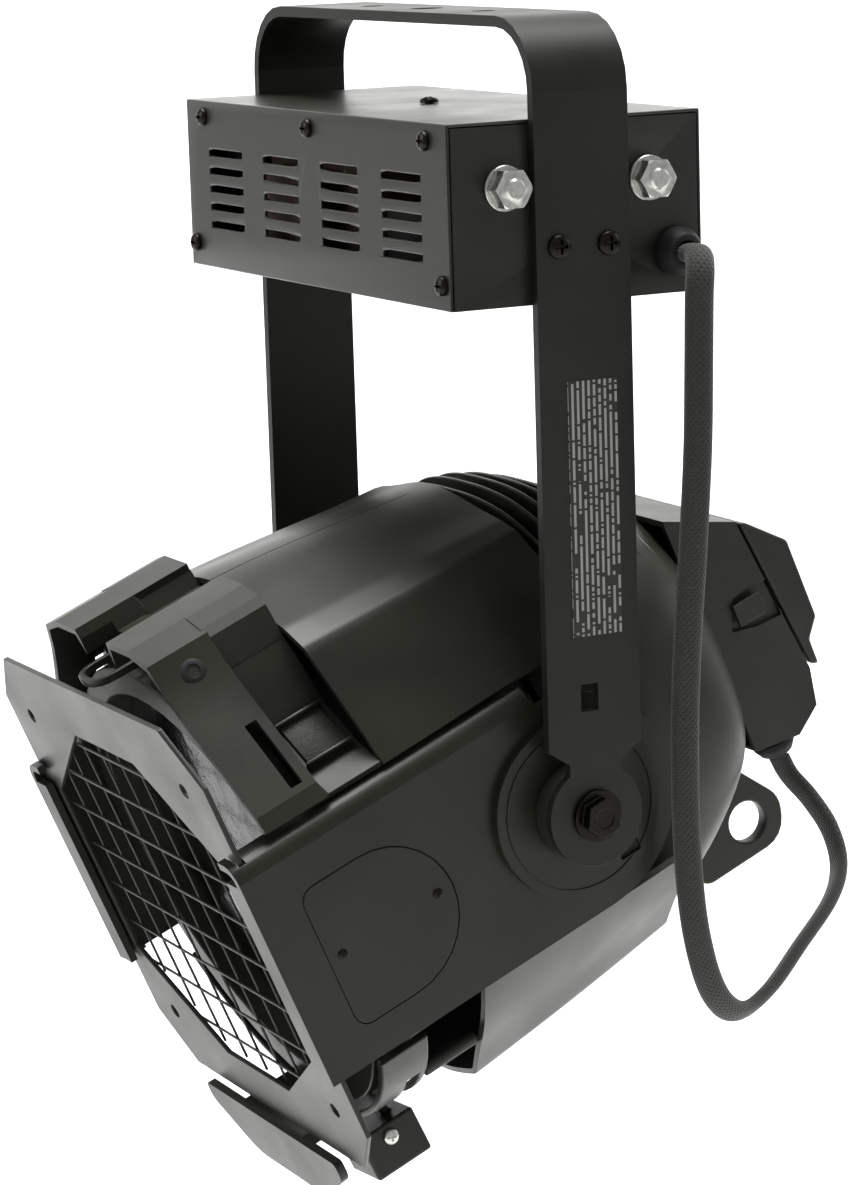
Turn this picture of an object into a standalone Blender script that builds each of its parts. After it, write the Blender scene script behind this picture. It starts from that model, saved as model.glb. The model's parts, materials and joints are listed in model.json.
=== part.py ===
"""Par can light with a ballast box on its yoke: metres, +Z up.

The origin is the centre of the yoke's top face, where the lamp hangs. The head is built in its own
frame on the pivot: local X across, local -Y forwards out of the lens (called f), local Z up (called u).
"""
import math

import bmesh
import bpy
from mathutils import Vector

MM = 0.001
COLLECTION = "par_can_light"

# Clearances
GAP = 0.3 * MM
SLIDE_GAP = 0.5 * MM
PIVOT_GAP = 0.3 * MM

# Yoke
YOKE_WIDTH = 230 * MM
STRAP_WIDTH = 38 * MM
STRAP_THICKNESS = 4 * MM
YOKE_BEND = 26 * MM
PIVOT_DROP = 286.5 * MM
ARM_END_RADIUS = 19 * MM
ARM_NECK = 21 * MM
ARM_SHOULDER = 25.5 * MM
SHOULDER_SLOPE = 5.5 * MM
HANGING_HOLE = 13 * MM
SIDE_HOLE = 9 * MM
SIDE_HOLE_OFFSET = 45 * MM
SQUARE_HOLE = (7 * MM, 10 * MM)
SQUARE_HOLE_AT = (-1.8 * MM, -242.5 * MM)

# Ballast box
BOX_WIDTH = YOKE_WIDTH - 2 * STRAP_THICKNESS - 2 * GAP
BOX_DEPTH = 102 * MM
BOX_HEIGHT = 65 * MM
BOX_TOP = -35.3 * MM
SHEET = 1.2 * MM
BOX_BOTTOM = BOX_TOP - BOX_HEIGHT
GLAND_DROP = BOX_BOTTOM + 15 * MM
GLAND_FORWARD = 40.2 * MM
SLOT_WIDTH = 31 * MM
SLOT_HEIGHT = 2.7 * MM
SLOT_PITCH = 7 * MM
SLOT_ROWS = 5
SLOT_COLUMNS = (-75 * MM, -25 * MM, 25 * MM, 75 * MM)
COVER_SCREW_TOP = (-94.5 * MM, 0.0, 94.5 * MM)
COVER_SCREW_LOW = (-105 * MM, 105 * MM)
COVER_SCREW_INSET = 6.3 * MM
COVER_SCREW_FOOT = 8.9 * MM

# Fasteners
SCREW_SHANK = 1.5 * MM
SCREW_HEAD = 3.6 * MM
SCREW_HEAD_HEIGHT = 2.2 * MM
SCREW_LENGTH = 5 * MM
ARM_SCREW_OFFSET = 10 * MM
ARM_SCREW_DROP = 80 * MM
ARM_SCREW_SHANK = 2 * MM
ARM_SCREW_HEAD = 4.4 * MM
STUD_RADIUS = 4 * MM
STUD_OFFSET = 29 * MM
STUD_DROP = 58.5 * MM
STUD_REACH = 9.3 * MM
NUT_RADIUS = 7.5 * MM
NUT_HEIGHT = 6.5 * MM
PIVOT_BOLT = 5 * MM
PIVOT_HEAD = 7.5 * MM
PIVOT_WASHER = 9.7 * MM

# Head: the tilt it is stored at and its side panels
HEAD_TILT = math.radians(23)
PANEL_FACE = 98.5 * MM
PANEL_WALL = 3 * MM
PANEL_HALF = 42.5 * MM
PANEL_TOP = 50.5 * MM
PANEL_FRONT = 128 * MM
PANEL_LIP = 12.5 * MM
SEAT_RADIUS = 34 * MM
SEAT_PROUD = 3.5 * MM
COVER_RECESS = 1.5 * MM
COVER_HALF = 29.3 * MM
COVER_FRONT = 110 * MM
COVER_BACK = 55 * MM

# Head: shells, stations along f
COLLAR_FRONT = 110 * MM
COLLAR_STEP = 84 * MM
SHELL_FRONT = 59 * MM
SHELL_BACK = -38 * MM
CASTING_BACK = -98 * MM
CASTING_FLARE = -41.3 * MM
CASTING_WALL = 3 * MM
CASTING_RINGS = (
    (84 * MM, 78 * MM, -80 * MM, -12 * MM),
    (84 * MM, 78 * MM, -80 * MM, SHELL_BACK - GAP),
    (89 * MM, 84 * MM, -88 * MM, CASTING_FLARE),
    (88.5 * MM, 81 * MM, -80 * MM, -55 * MM),
    (86 * MM, 77 * MM, -71 * MM, -68 * MM),
    (82 * MM, 72 * MM, -61 * MM, -80 * MM),
    (74 * MM, 66 * MM, -52 * MM, -90 * MM),
    (56 * MM, 60 * MM, -46 * MM, CASTING_BACK),
)
SHELL_WALL = 2.5 * MM
AXIS_U = 3 * MM
BARREL_RADIUS = 86 * MM
BARREL_WALL = 2 * MM
RING_RADIUS = 95 * MM
RING_FRONT = 104 * MM
RING_BACK = 86 * MM
BAND_RADIUS = 102 * MM
BAND_WALL = 3 * MM
BAND_FRONT = 104.5 * MM
BAND_BACK = 83.5 * MM
BAND_HALF_ANGLE = math.radians(57)
LEVER_ANGLE = math.radians(7)
LEVER_SLOT_HALF = math.radians(42)
FIN_COUNT = 7
FIN_PITCH = 7 * MM
FIN_THICKNESS = 1.8 * MM

# Guard frame
GUARD_SIZE = 190 * MM
GUARD_CENTRE_U = 5.5 * MM
GUARD_CHAMFER = 20.2 * MM
GUARD_THICKNESS = 2 * MM
GUARD_FRONT = 124 * MM
OPENING_HALF = 84 * MM
OPENING_FLAT = 28 * MM
OPENING_TOP = 76 * MM
OPENING_LOW = -70 * MM
WIRE = 1.6 * MM
WIRE_PITCH = 18.5 * MM

# Rear cap
CAP_HALF = 50 * MM
CAP_WALL = 2.5 * MM
EYE_THICKNESS = 6 * MM
EYE_HOLE = 8.5 * MM

# Orientation of flat and turned pieces
FACE_ON = (math.pi / 2, 0, 0)
SIDE_ON = (math.pi / 2, 0, -math.pi / 2)
ALONG_X = (0, math.pi / 2, 0)
AGAINST_X = (0, -math.pi / 2, 0)
ALONG_BACK = (-math.pi / 2, 0, 0)
DOWN = (math.pi, 0, 0)
UP = (0, 0, 0)

# The lead's route, chosen by hand, from the box's gland to the rear cap's gland
LEAD_RADIUS = 5 * MM
LEAD_ROUTE = (
    (0.1203, 0.0402, -0.0853), (0.1258, 0.0402, -0.0855), (0.1307, 0.0380, -0.0905), (0.1325, 0.0363, -0.1009),
    (0.1335, 0.0350, -0.1255), (0.1325, 0.0346, -0.1542), (0.1290, 0.0340, -0.1907), (0.1240, 0.0338, -0.2280),
    (0.1190, 0.0351, -0.2662), (0.1140, 0.0384, -0.3055), (0.1085, 0.0447, -0.3384), (0.1010, 0.0563, -0.3653),
    (0.0930, 0.0719, -0.3780), (0.0850, 0.0905, -0.3748), (0.0770, 0.1103, -0.3620), (0.0690, 0.1295, -0.3488),
    (0.0610, 0.1390, -0.3380), (0.0540, 0.1397, -0.3252), (0.0455, 0.1362, -0.3140), (0.0385, 0.1310, -0.3050),
    (0.0370, 0.1272, -0.2972),
)
LEAD_POINTS = 48
ROUTE_BOX_HALF = 110.7 * MM
ROUTE_GLAND_DROP = -85.3 * MM
ROUTE_PIVOT_DROP = 286.5 * MM

parts = bpy.data.collections.new(COLLECTION)
tools = bpy.data.collections.new("cutters")


def clear_scene():
    for item in list(bpy.data.objects):
        bpy.data.objects.remove(item)
    bpy.context.scene.collection.children.link(parts)
    bpy.context.scene.collection.children.link(tools)


def material(name, colour, roughness, metallic=0.0):
    made = bpy.data.materials.new(name)
    made.use_nodes = True
    shader = made.node_tree.nodes["Principled BSDF"]
    shader.inputs["Base Color"].default_value = (*colour, 1)
    shader.inputs["Roughness"].default_value = roughness
    shader.inputs["Metallic"].default_value = metallic
    return made


def piece(name, mesh, parent=None, at=(0, 0, 0), turn=UP):
    """An object of the lamp, placed under its parent."""
    made = bpy.data.objects.new(name, mesh)
    parts.objects.link(made)
    made.parent = parent
    made.location = at
    made.rotation_euler = turn
    mesh.materials.append(material(name, *finish))
    return made


def as_tool(made):
    """Turns a piece into a shape that others are cut or joined with."""
    parts.objects.unlink(made)
    tools.objects.link(made)
    made.hide_render = True
    made.display_type = "WIRE"
    return made


def combine(target, other, operation):
    modifier = target.modifiers.new(other.name, "BOOLEAN")
    modifier.operation = operation
    modifier.object = as_tool(other)
    return target


def cut(target, other):
    return combine(target, other, "DIFFERENCE")


def join(target, other):
    return combine(target, other, "UNION")


def box_mesh(size):
    mesh = bpy.data.meshes.new("box")
    shape = bmesh.new()
    bmesh.ops.create_cube(shape, size=1)
    bmesh.ops.scale(shape, vec=size, verts=shape.verts)
    shape.to_mesh(mesh)
    shape.free()
    return mesh


def box(name, size, parent=None, at=(0, 0, 0), turn=UP):
    return piece(name, box_mesh(size), parent, at, turn)


def cylinder(name, radius, length, parent=None, at=(0, 0, 0), turn=UP, sides=20):
    """A cylinder about its own Z, centred on its place."""
    mesh = bpy.data.meshes.new(name)
    shape = bmesh.new()
    bmesh.ops.create_cone(
        shape, cap_ends=True, segments=sides, radius1=radius, radius2=radius, depth=length
    )
    shape.to_mesh(mesh)
    shape.free()
    mesh.shade_smooth()
    mesh.set_sharp_from_angle(angle=math.radians(40))
    return piece(name, mesh, parent, at, turn)


def plate(name, outline, thickness, parent=None, at=(0, 0, 0), turn=FACE_ON):
    """A flat outline, thickened evenly about its plane."""
    curve = bpy.data.curves.new(name, "CURVE")
    curve.dimensions = "2D"
    curve.fill_mode = "BOTH"
    curve.extrude = thickness / 2
    spline = curve.splines.new("POLY")
    spline.points.add(len(outline) - 1)
    for point, (across, along) in zip(spline.points, outline):
        point.co = (across, along, 0, 1)
    spline.use_cyclic_u = True
    drawn = bpy.data.objects.new(name, curve)
    tools.objects.link(drawn)
    bpy.context.view_layer.update()
    mesh = bpy.data.meshes.new_from_object(drawn.evaluated_get(bpy.context.evaluated_depsgraph_get()))
    bpy.data.objects.remove(drawn)
    bpy.data.curves.remove(curve)
    shape = bmesh.new()
    shape.from_mesh(mesh)
    bmesh.ops.remove_doubles(shape, verts=shape.verts, dist=0.00001)
    bmesh.ops.recalc_face_normals(shape, faces=shape.faces)
    shape.to_mesh(mesh)
    shape.free()
    return piece(name, mesh, parent, at, turn)


def turned(name, profile, parent=None, at=(0, 0, 0), turn=UP, sides=24, closed=False):
    """A turned piece from (radius, height) points that run down its outer side."""
    mesh = bpy.data.meshes.new(name)
    ends = list(range(len(profile)))
    edges = list(zip(ends, ends[1:]))
    if closed:
        edges.append((ends[-1], 0))
    mesh.from_pydata([(radius, 0, height) for radius, height in profile], edges, [])
    made = piece(name, mesh, parent, at, turn)
    screw = made.modifiers.new("turn", "SCREW")
    screw.steps = sides
    screw.render_steps = sides
    screw.use_merge_vertices = True
    screw.merge_threshold = 0.01 * MM
    screw.use_smooth_shade = True
    return made


def shell(name, stations, thickness, parent=None, ring=False, outward=1):
    """A skin lofted through rows of points, thickened inwards."""
    mesh = bpy.data.meshes.new(name)
    points = [point for station in stations for point in station]
    width = len(stations[0])
    faces = []
    for row in range(len(stations) - 1):
        for column in range(width if ring else width - 1):
            following = (column + 1) % width
            corners = [
                row * width + column,
                row * width + following,
                (row + 1) * width + following,
                (row + 1) * width + column,
            ]
            faces.append(corners if outward > 0 else corners[::-1])
    mesh.from_pydata(points, [], faces)
    made = piece(name, mesh, parent)
    solidify = made.modifiers.new("wall", "SOLIDIFY")
    solidify.thickness = thickness
    solidify.offset = -1
    solidify.use_even_offset = True
    return made


def rounded(corners, steps=4):
    """An outline through (across, along, radius) corners, each rounded by its radius."""
    points = []
    for index, (across, along, radius) in enumerate(corners):
        corner = Vector((across, along))
        if radius <= 0:
            points.append(tuple(corner))
            continue
        before = (Vector(corners[index - 1][:2]) - corner).normalized()
        after = (Vector(corners[(index + 1) % len(corners)][:2]) - corner).normalized()
        half = before.angle(after) / 2
        centre = corner + (before + after).normalized() * radius / math.sin(half)
        start = corner + before * radius / math.tan(half) - centre
        end = corner + after * radius / math.tan(half) - centre
        first = math.atan2(start.y, start.x)
        sweep = (math.atan2(end.y, end.x) - first + math.pi) % (2 * math.pi) - math.pi
        for step in range(steps + 1):
            angle = first + sweep * step / steps
            points.append((centre.x + radius * math.cos(angle), centre.y + radius * math.sin(angle)))
    return points


def arc(centre_across, centre_along, radius, start, end, steps):
    points = []
    for step in range(steps + 1):
        angle = start + (end - start) * step / steps
        points.append((centre_across + radius * math.cos(angle), centre_along + radius * math.sin(angle)))
    return points


def head_at(across, forward, up):
    return (across, -forward, up)


def mirrored(section):
    """A half section from the right edge to the middle, with its left half added."""
    return list(section) + [(-across, up) for across, up in reversed(section) if across > 0]


def station(section, forward):
    return [head_at(across, forward, up) for across, up in mirrored(section)]


def scaled(section):
    return [(across * MM, up * MM) for across, up in section]


def ring_station(half, top, low, count=32, power=0.75):
    """A rounded square ring of points about the head's axis."""
    points = []
    for step in range(count):
        angle = 2 * math.pi * step / count
        across = math.copysign(abs(math.cos(angle)) ** power, math.cos(angle)) * half
        rise = math.copysign(abs(math.sin(angle)) ** power, math.sin(angle))
        points.append((across, rise * (top if rise > 0 else -low)))
    return points


def yoke_strap():
    half = YOKE_WIDTH / 2
    inside = half - STRAP_THICKNESS
    foot = -PIVOT_DROP - 2 * ARM_END_RADIUS
    bow = plate(
        "yoke_strap",
        rounded([
            (-half, foot, 0), (-half, 0, YOKE_BEND), (half, 0, YOKE_BEND), (half, foot, 0),
            (inside, foot, 0), (inside, -STRAP_THICKNESS, YOKE_BEND - STRAP_THICKNESS),
            (-inside, -STRAP_THICKNESS, YOKE_BEND - STRAP_THICKNESS), (-inside, foot, 0),
        ], steps=6),
        STRAP_WIDTH * 2,
    )
    wide = STRAP_WIDTH / 2
    neck = ARM_NECK / 2
    shoulder = -PIVOT_DROP + ARM_SHOULDER
    meet = math.acos(neck / ARM_END_RADIUS)
    end = arc(0, -PIVOT_DROP, ARM_END_RADIUS, meet, -math.pi - meet, 24)
    side = [(wide, wide), (wide, shoulder), (neck, shoulder - SHOULDER_SLOPE), *end]
    side += [(-neck, shoulder - SHOULDER_SLOPE), (-wide, shoulder), (-wide, wide)]
    combine(bow, plate("arm_outline", side, YOKE_WIDTH * 1.2, turn=SIDE_ON), "INTERSECT")
    cut(bow, cylinder("hanging_hole", HANGING_HOLE / 2, 5 * STRAP_THICKNESS))
    for side_name, place in (("left", -SIDE_HOLE_OFFSET), ("right", SIDE_HOLE_OFFSET)):
        cut(bow, cylinder("side_hole_" + side_name, SIDE_HOLE / 2, 5 * STRAP_THICKNESS, at=(place, 0, 0)))
    pivot_at = (0, 0, -PIVOT_DROP)
    cut(bow, cylinder("pivot_bore", PIVOT_BOLT + PIVOT_GAP, YOKE_WIDTH * 1.2, at=pivot_at, turn=ALONG_X))
    square_at = (0, SQUARE_HOLE_AT[0], SQUARE_HOLE_AT[1])
    cut(bow, box("square_hole", (YOKE_WIDTH * 1.2, *SQUARE_HOLE), at=square_at))
    for end_name, place in (("front", -ARM_SCREW_OFFSET), ("rear", ARM_SCREW_OFFSET)):
        at = (0, place, -ARM_SCREW_DROP)
        cut(bow, cylinder("arm_hole_" + end_name, ARM_SCREW_SHANK + GAP, YOKE_WIDTH * 1.2, at=at,
                          turn=ALONG_X, sides=12))


def screw(name, at, turn, shank=SCREW_SHANK, head=SCREW_HEAD, length=SCREW_LENGTH):
    """A pan-head screw whose head stands just off the face it holds."""
    top = GAP + SCREW_HEAD_HEIGHT
    profile = [(0, top), (head * 0.6, top - 0.2 * MM), (head * 0.92, top - 1.0 * MM), (head, GAP)]
    profile += [(shank, GAP), (shank, -length), (0, -length)]
    return turned(name, profile, at=at, turn=turn, sides=12)


def ballast_box():
    cover = ballast_cover()
    inside = BOX_DEPTH - 2 * SHEET - 2 * GAP
    half = BOX_WIDTH / 2
    top = BOX_TOP - SHEET - GAP
    tray = plate(
        "ballast_tray",
        [
            (-half, top), (-half, BOX_BOTTOM), (half, BOX_BOTTOM), (half, top),
            (half - SHEET, top), (half - SHEET, BOX_BOTTOM + SHEET),
            (-half + SHEET, BOX_BOTTOM + SHEET), (-half + SHEET, top),
        ],
        inside,
    )
    for side_name, sign, turn in (("right", 1, ALONG_X), ("left", -1, AGAINST_X)):
        for end_name, place in (("front", -1), ("rear", 1)):
            name = side_name + "_" + end_name
            hole_at = (sign * half, place * STUD_OFFSET, -STUD_DROP)
            cut(tray, cylinder("stud_hole_" + name, STUD_RADIUS + GAP, 6 * SHEET, at=hole_at, turn=ALONG_X))
            stud(name, hole_at, turn)
            screw_at = (sign * half, place * ARM_SCREW_OFFSET, -ARM_SCREW_DROP)
            cut(tray, cylinder("tapped_" + name, ARM_SCREW_SHANK + GAP, 6 * SHEET, at=screw_at,
                               turn=ALONG_X, sides=12))
            outside = (sign * YOKE_WIDTH / 2, screw_at[1], screw_at[2])
            screw("arm_screw_" + name, outside, turn, ARM_SCREW_SHANK, ARM_SCREW_HEAD, 3 * SCREW_LENGTH / 2)
    cut(tray, cylinder("lead_hole", 5.5 * MM + GAP, 6 * SHEET, at=(half, GLAND_FORWARD, GLAND_DROP), turn=ALONG_X))
    cover_screws(cover)


def stud(name, at, turn):
    """A stud through the side wall with its nut and washer outside."""
    proud = GAP + 1.5 * MM
    profile = [(0, STUD_REACH), (STUD_RADIUS * 0.8, STUD_REACH), (STUD_RADIUS, STUD_REACH - 0.8 * MM)]
    profile += [(STUD_RADIUS, proud), (NUT_RADIUS + 0.6 * MM, proud), (NUT_RADIUS + 0.6 * MM, GAP)]
    profile += [(STUD_RADIUS, GAP), (STUD_RADIUS, -9 * MM), (0, -9 * MM)]
    made = turned("stud_" + name, profile, at=at, turn=turn, sides=20)
    reach = (proud + NUT_HEIGHT / 2) * (1 if turn == ALONG_X else -1)
    nut_at = (at[0] + reach - 0.1 * MM, at[1], at[2])
    join(made, cylinder("nut_" + name, NUT_RADIUS, NUT_HEIGHT, at=nut_at, turn=ALONG_X, sides=6))


def ballast_cover():
    front = BOX_DEPTH / 2
    wall = front - SHEET
    foot = BOX_BOTTOM
    cover = plate(
        "ballast_cover",
        [
            (-front, foot), (-front, BOX_TOP), (front, BOX_TOP), (front, foot),
            (wall, foot), (wall, BOX_TOP - SHEET), (-wall, BOX_TOP - SHEET), (-wall, foot),
        ],
        BOX_WIDTH,
        turn=SIDE_ON,
    )
    mesh = bpy.data.meshes.new("slots")
    shape = bmesh.new()
    middle = -69.2 * MM
    for across in SLOT_COLUMNS:
        for row in range(SLOT_ROWS):
            made = bmesh.ops.create_cube(shape, size=1)["verts"]
            bmesh.ops.scale(shape, vec=(SLOT_WIDTH, BOX_DEPTH * 1.2, SLOT_HEIGHT), verts=made)
            rise = middle + (row - (SLOT_ROWS - 1) / 2) * SLOT_PITCH
            bmesh.ops.translate(shape, vec=(across, 0, rise), verts=made)
    shape.to_mesh(mesh)
    shape.free()
    return cut(cover, piece("slots", mesh))


def cover_screws(cover):
    front = BOX_DEPTH / 2
    places = [("top_%d" % number, across, BOX_TOP - COVER_SCREW_INSET)
              for number, across in enumerate(COVER_SCREW_TOP, 1)]
    places += [("foot_%d" % number, across, BOX_BOTTOM + COVER_SCREW_FOOT)
               for number, across in enumerate(COVER_SCREW_LOW, 1)]
    for name, across, rise in places:
        hole_at = (across, 0, rise)
        cut(cover, cylinder("hole_" + name, SCREW_SHANK + GAP, BOX_DEPTH * 1.2, at=hole_at,
                            turn=FACE_ON, sides=12))
        length = 0.9 * MM
        screw("cover_screw_front_" + name, (across, -front, rise), FACE_ON, length=length)
        screw("cover_screw_rear_" + name, (across, front, rise), ALONG_BACK, length=length)
    cut(cover, cylinder("hole_lid", SCREW_SHANK + GAP, 6 * SHEET, at=(0, 0, BOX_TOP), sides=12))
    screw("cover_screw_lid", (0, 0, BOX_TOP), UP, length=0.9 * MM)


def ballast_parts():
    floor = BOX_BOTTOM + SHEET + GAP
    core = (78 * MM, 62 * MM, 44 * MM)
    choke = box("ballast_choke", core, at=(-38 * MM, 0, floor + core[2] / 2))
    winding = (52 * MM, 82 * MM, 34 * MM)
    join(choke, box("winding", winding, at=(-38 * MM, 0, floor + core[2] / 2)))
    igniter = (44 * MM, 60 * MM, 30 * MM)
    box("igniter", igniter, at=(42 * MM, 0, floor + igniter[2] / 2))
    terminal = (16 * MM, 44 * MM, 18 * MM)
    box("terminal_block", terminal, at=(84 * MM, -6 * MM, floor + terminal[2] / 2))


def lead_gland():
    half = BOX_WIDTH / 2
    profile = [(4.2 * MM, 8 * MM), (6.5 * MM, 7.4 * MM), (9 * MM, 3 * MM), (9 * MM, GAP), (5.5 * MM, GAP)]
    profile += [(5.5 * MM, -7 * MM), (4.2 * MM, -7 * MM)]
    turned("lead_gland", profile, at=(half, GLAND_FORWARD, GLAND_DROP), turn=ALONG_X, sides=20, closed=True)


def smooth_route(route, count):
    """Evenly spread points on a smooth curve through the route's points."""
    points = [Vector(point) for point in route]
    points = [2 * points[0] - points[1], *points, 2 * points[-1] - points[-2]]
    dense = []
    for index in range(1, len(points) - 2):
        before, start, end, after = points[index - 1:index + 3]
        for step in range(16):
            t = step / 16
            dense.append(
                0.5 * (2 * start + (end - before) * t + (2 * before - 5 * start + 4 * end - after) * t**2
                       + (3 * start - before - 3 * end + after) * t**3)
            )
    dense.append(points[-2])
    lengths = [0.0]
    for start, end in zip(dense, dense[1:]):
        lengths.append(lengths[-1] + (end - start).length)
    spread = []
    for number in range(count):
        target = lengths[-1] * number / (count - 1)
        index = next((i for i, length in enumerate(lengths) if length >= target - 1e-12), len(dense) - 1)
        if index == 0:
            spread.append(dense[0])
            continue
        share = (target - lengths[index - 1]) / (lengths[index] - lengths[index - 1])
        spread.append(dense[index - 1].lerp(dense[index], share))
    return spread


def fitted_route():
    """The lead's route, moved with the box gland at its start and with the head at its end."""
    start = Vector((BOX_WIDTH / 2 - ROUTE_BOX_HALF, 0, GLAND_DROP - ROUTE_GLAND_DROP))
    finish_shift = Vector((0, 0, ROUTE_PIVOT_DROP - PIVOT_DROP))
    held = 3
    moving = len(LEAD_ROUTE) - 1 - 2 * held
    route = []
    for index, point in enumerate(LEAD_ROUTE):
        share = min(max((index - held) / moving, 0), 1)
        route.append(Vector(point) + start.lerp(finish_shift, share))
    return route


def power_lead():
    curve = bpy.data.curves.new("power_lead", "CURVE")
    curve.dimensions = "3D"
    curve.bevel_depth = LEAD_RADIUS
    curve.bevel_resolution = 2
    curve.use_fill_caps = True
    spline = curve.splines.new("POLY")
    points = smooth_route(fitted_route(), LEAD_POINTS)
    spline.points.add(len(points) - 1)
    for point, place in zip(spline.points, points):
        point.co = (*place, 1)
    made = bpy.data.objects.new("power_lead", curve)
    parts.objects.link(made)
    curve.materials.append(material("power_lead", *finish))


def head_pivot():
    made = bpy.data.objects.new("head_pivot", None)
    parts.objects.link(made)
    made.location = (0, 0, -PIVOT_DROP)
    made.rotation_euler = (HEAD_TILT, 0, 0)
    return made


def side_panel(head, name, sign):
    face = PANEL_FACE
    inner = face - PANEL_WALL
    section = rounded([
        (face, -PANEL_HALF, 0), (face, PANEL_TOP, 7 * MM), (86 * MM, PANEL_TOP, 0),
        (86 * MM, PANEL_TOP - PANEL_WALL, 0), (inner, PANEL_TOP - PANEL_WALL, 4 * MM), (inner, -PANEL_HALF, 0),
    ])
    section = [(sign * across, up) for across, up in section]
    panel = plate(name, section, PANEL_FRONT, head, head_at(0, PANEL_FRONT / 2, 0))
    middle = sign * (face - PANEL_WALL / 2)
    disc = cylinder(name + "_end", PANEL_HALF, PANEL_WALL, head, head_at(middle, 0, 0), ALONG_X, 40)
    join(panel, disc)
    seat_at = head_at(sign * (face + SEAT_PROUD / 2 - 0.5 * MM), 0, 0)
    seat = cylinder(name + "_seat", SEAT_RADIUS, SEAT_PROUD + 1 * MM, head, seat_at, ALONG_X, 36)
    join(panel, seat)
    lip_thickness = 3 * MM
    lip_at = head_at(sign * (face - PANEL_LIP / 2), PANEL_FRONT - lip_thickness / 2, 0)
    join(panel, box(name + "_lip", (PANEL_LIP, lip_thickness, 2 * PANEL_HALF - 1 * MM), head, lip_at))
    rib_front = GUARD_FRONT - GUARD_THICKNESS - SLIDE_GAP
    rib_at = head_at(sign * (inner - 2 * MM), rib_front - lip_thickness / 2, 0)
    join(panel, box(name + "_rib", (6 * MM, lip_thickness, 2 * PANEL_HALF - 2 * MM), head, rib_at))
    slot_depth = GUARD_THICKNESS + 3 * SLIDE_GAP
    slot_at = head_at(sign * (inner - 8 * MM + SLIDE_GAP), GUARD_FRONT - GUARD_THICKNESS / 2, PANEL_TOP)
    cut(panel, box(name + "_guard_slot", (16 * MM, slot_depth, 18 * MM), head, slot_at))
    cut(panel, plate(name + "_recess", cover_outline(0), 2 * COVER_RECESS, head,
                     head_at(sign * face, 0, 0), SIDE_ON))
    bore_at = head_at(sign * face, 0, 0)
    cut(panel, cylinder(name + "_bore", PIVOT_BOLT + PIVOT_GAP, 6 * SEAT_PROUD, head, bore_at, ALONG_X))
    cover_thickness = COVER_RECESS - GAP
    cover_at = head_at(sign * (face - cover_thickness / 2), 0, 0)
    plate(name.replace("side_panel", "access_cover"), cover_outline(GAP), cover_thickness, head, cover_at, SIDE_ON)


def cover_outline(inset):
    """The access cover's D shape in (f, u), drawn in by inset."""
    half = COVER_HALF - inset
    front = COVER_FRONT - inset
    corner = 6 * MM - inset
    back = COVER_BACK + COVER_HALF
    points = rounded([(back, half, 0), (front, half, corner), (front, -half, corner), (back, -half, 0)])
    points += arc(back, 0, half, -math.pi / 2, -3 * math.pi / 2, 14)[1:-1]
    return points


def pivot_set(head, name, sign, turn):
    """Bolt, washer and spacer that hold one side of the head to its arm."""
    arm_face = YOKE_WIDTH / 2
    arm_inner = arm_face - STRAP_THICKNESS
    seat_face = PANEL_FACE + SEAT_PROUD
    length = arm_inner - seat_face - 2 * GAP
    spacer_at = head_at(sign * (seat_face + GAP), 0, 0)
    bore = PIVOT_BOLT + PIVOT_GAP
    profile = [(18.5 * MM, length), (18.5 * MM, 0), (bore, 0), (bore, length)]
    turned("friction_spacer_" + name, profile, head, spacer_at, turn, 32, closed=True)
    bolt_at = head_at(sign * arm_face, 0, 0)
    washer_top = GAP + 1.6 * MM
    profile = [(0, washer_top), (PIVOT_WASHER, washer_top), (PIVOT_WASHER, GAP), (PIVOT_BOLT, GAP)]
    profile += [(PIVOT_BOLT, -24 * MM), (0, -24 * MM)]
    bolt = turned("pivot_bolt_" + name, profile, head, bolt_at, turn, 24)
    head_height = 4.5 * MM
    hex_at = head_at(sign * (arm_face + washer_top + head_height / 2 - 0.1 * MM), 0, 0)
    join(bolt, cylinder("bolt_head_" + name, PIVOT_HEAD, head_height, head, hex_at, ALONG_X, 6))


def front_collar(head):
    outer = scaled([(95, 53.6), (92, 59.5), (78, 75.2), (62.5, 92.5), (54, 103), (48.6, 113), (34.5, 117),
                    (15, 117), (12, 109), (0, 109)])
    floor = scaled([(93, 53.6), (80, 59), (63, 72.5), (57.5, 88), (50, 102), (46, 111), (34.5, 114.5),
                    (15, 114), (12, 108), (0, 108)])
    stations = [station(outer, COLLAR_FRONT), station(outer, COLLAR_STEP)]
    stations += [station(floor, COLLAR_STEP - 2 * MM), station(floor, SHELL_FRONT + GAP)]
    collar = shell("front_collar", stations, SHELL_WALL, head, outward=-1)
    notch = (27 * MM, 16 * MM, 40 * MM)
    cut(collar, box("latch_notch", notch, head, head_at(0, COLLAR_FRONT - 6 * MM, 110 * MM)))


def top_shell(head):
    front = scaled([(94, 52.5), (84, 70), (68, 94), (56, 101), (35, 106), (15, 111), (0, 112.5)])
    middle = scaled([(93.5, 53), (81, 69), (64, 92), (54, 96), (35, 100.5), (15, 106), (0, 107.5)])
    rear = scaled([(93, 53), (78, 72), (60, 89), (50, 92), (35, 94.5), (15, 99), (0, 100.5)])
    stations = [station(front, SHELL_FRONT), station(middle, 12 * MM), station(rear, SHELL_BACK)]
    shell("top_shell", stations, SHELL_WALL, head, outward=-1)


def bottom_shell(head):
    front = scaled([(94.5, -44.5), (86, -56), (74, -70), (61, -82), (45, -99), (20, -106.5), (0, -107.5)])
    rear = scaled([(93, -44.5), (84, -54), (71, -66), (58, -77), (43, -91), (20, -98), (0, -99)])
    stations = [station(front, SHELL_FRONT), station(rear, SHELL_BACK)]
    shell("bottom_shell", stations, SHELL_WALL, head, outward=1)


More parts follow.
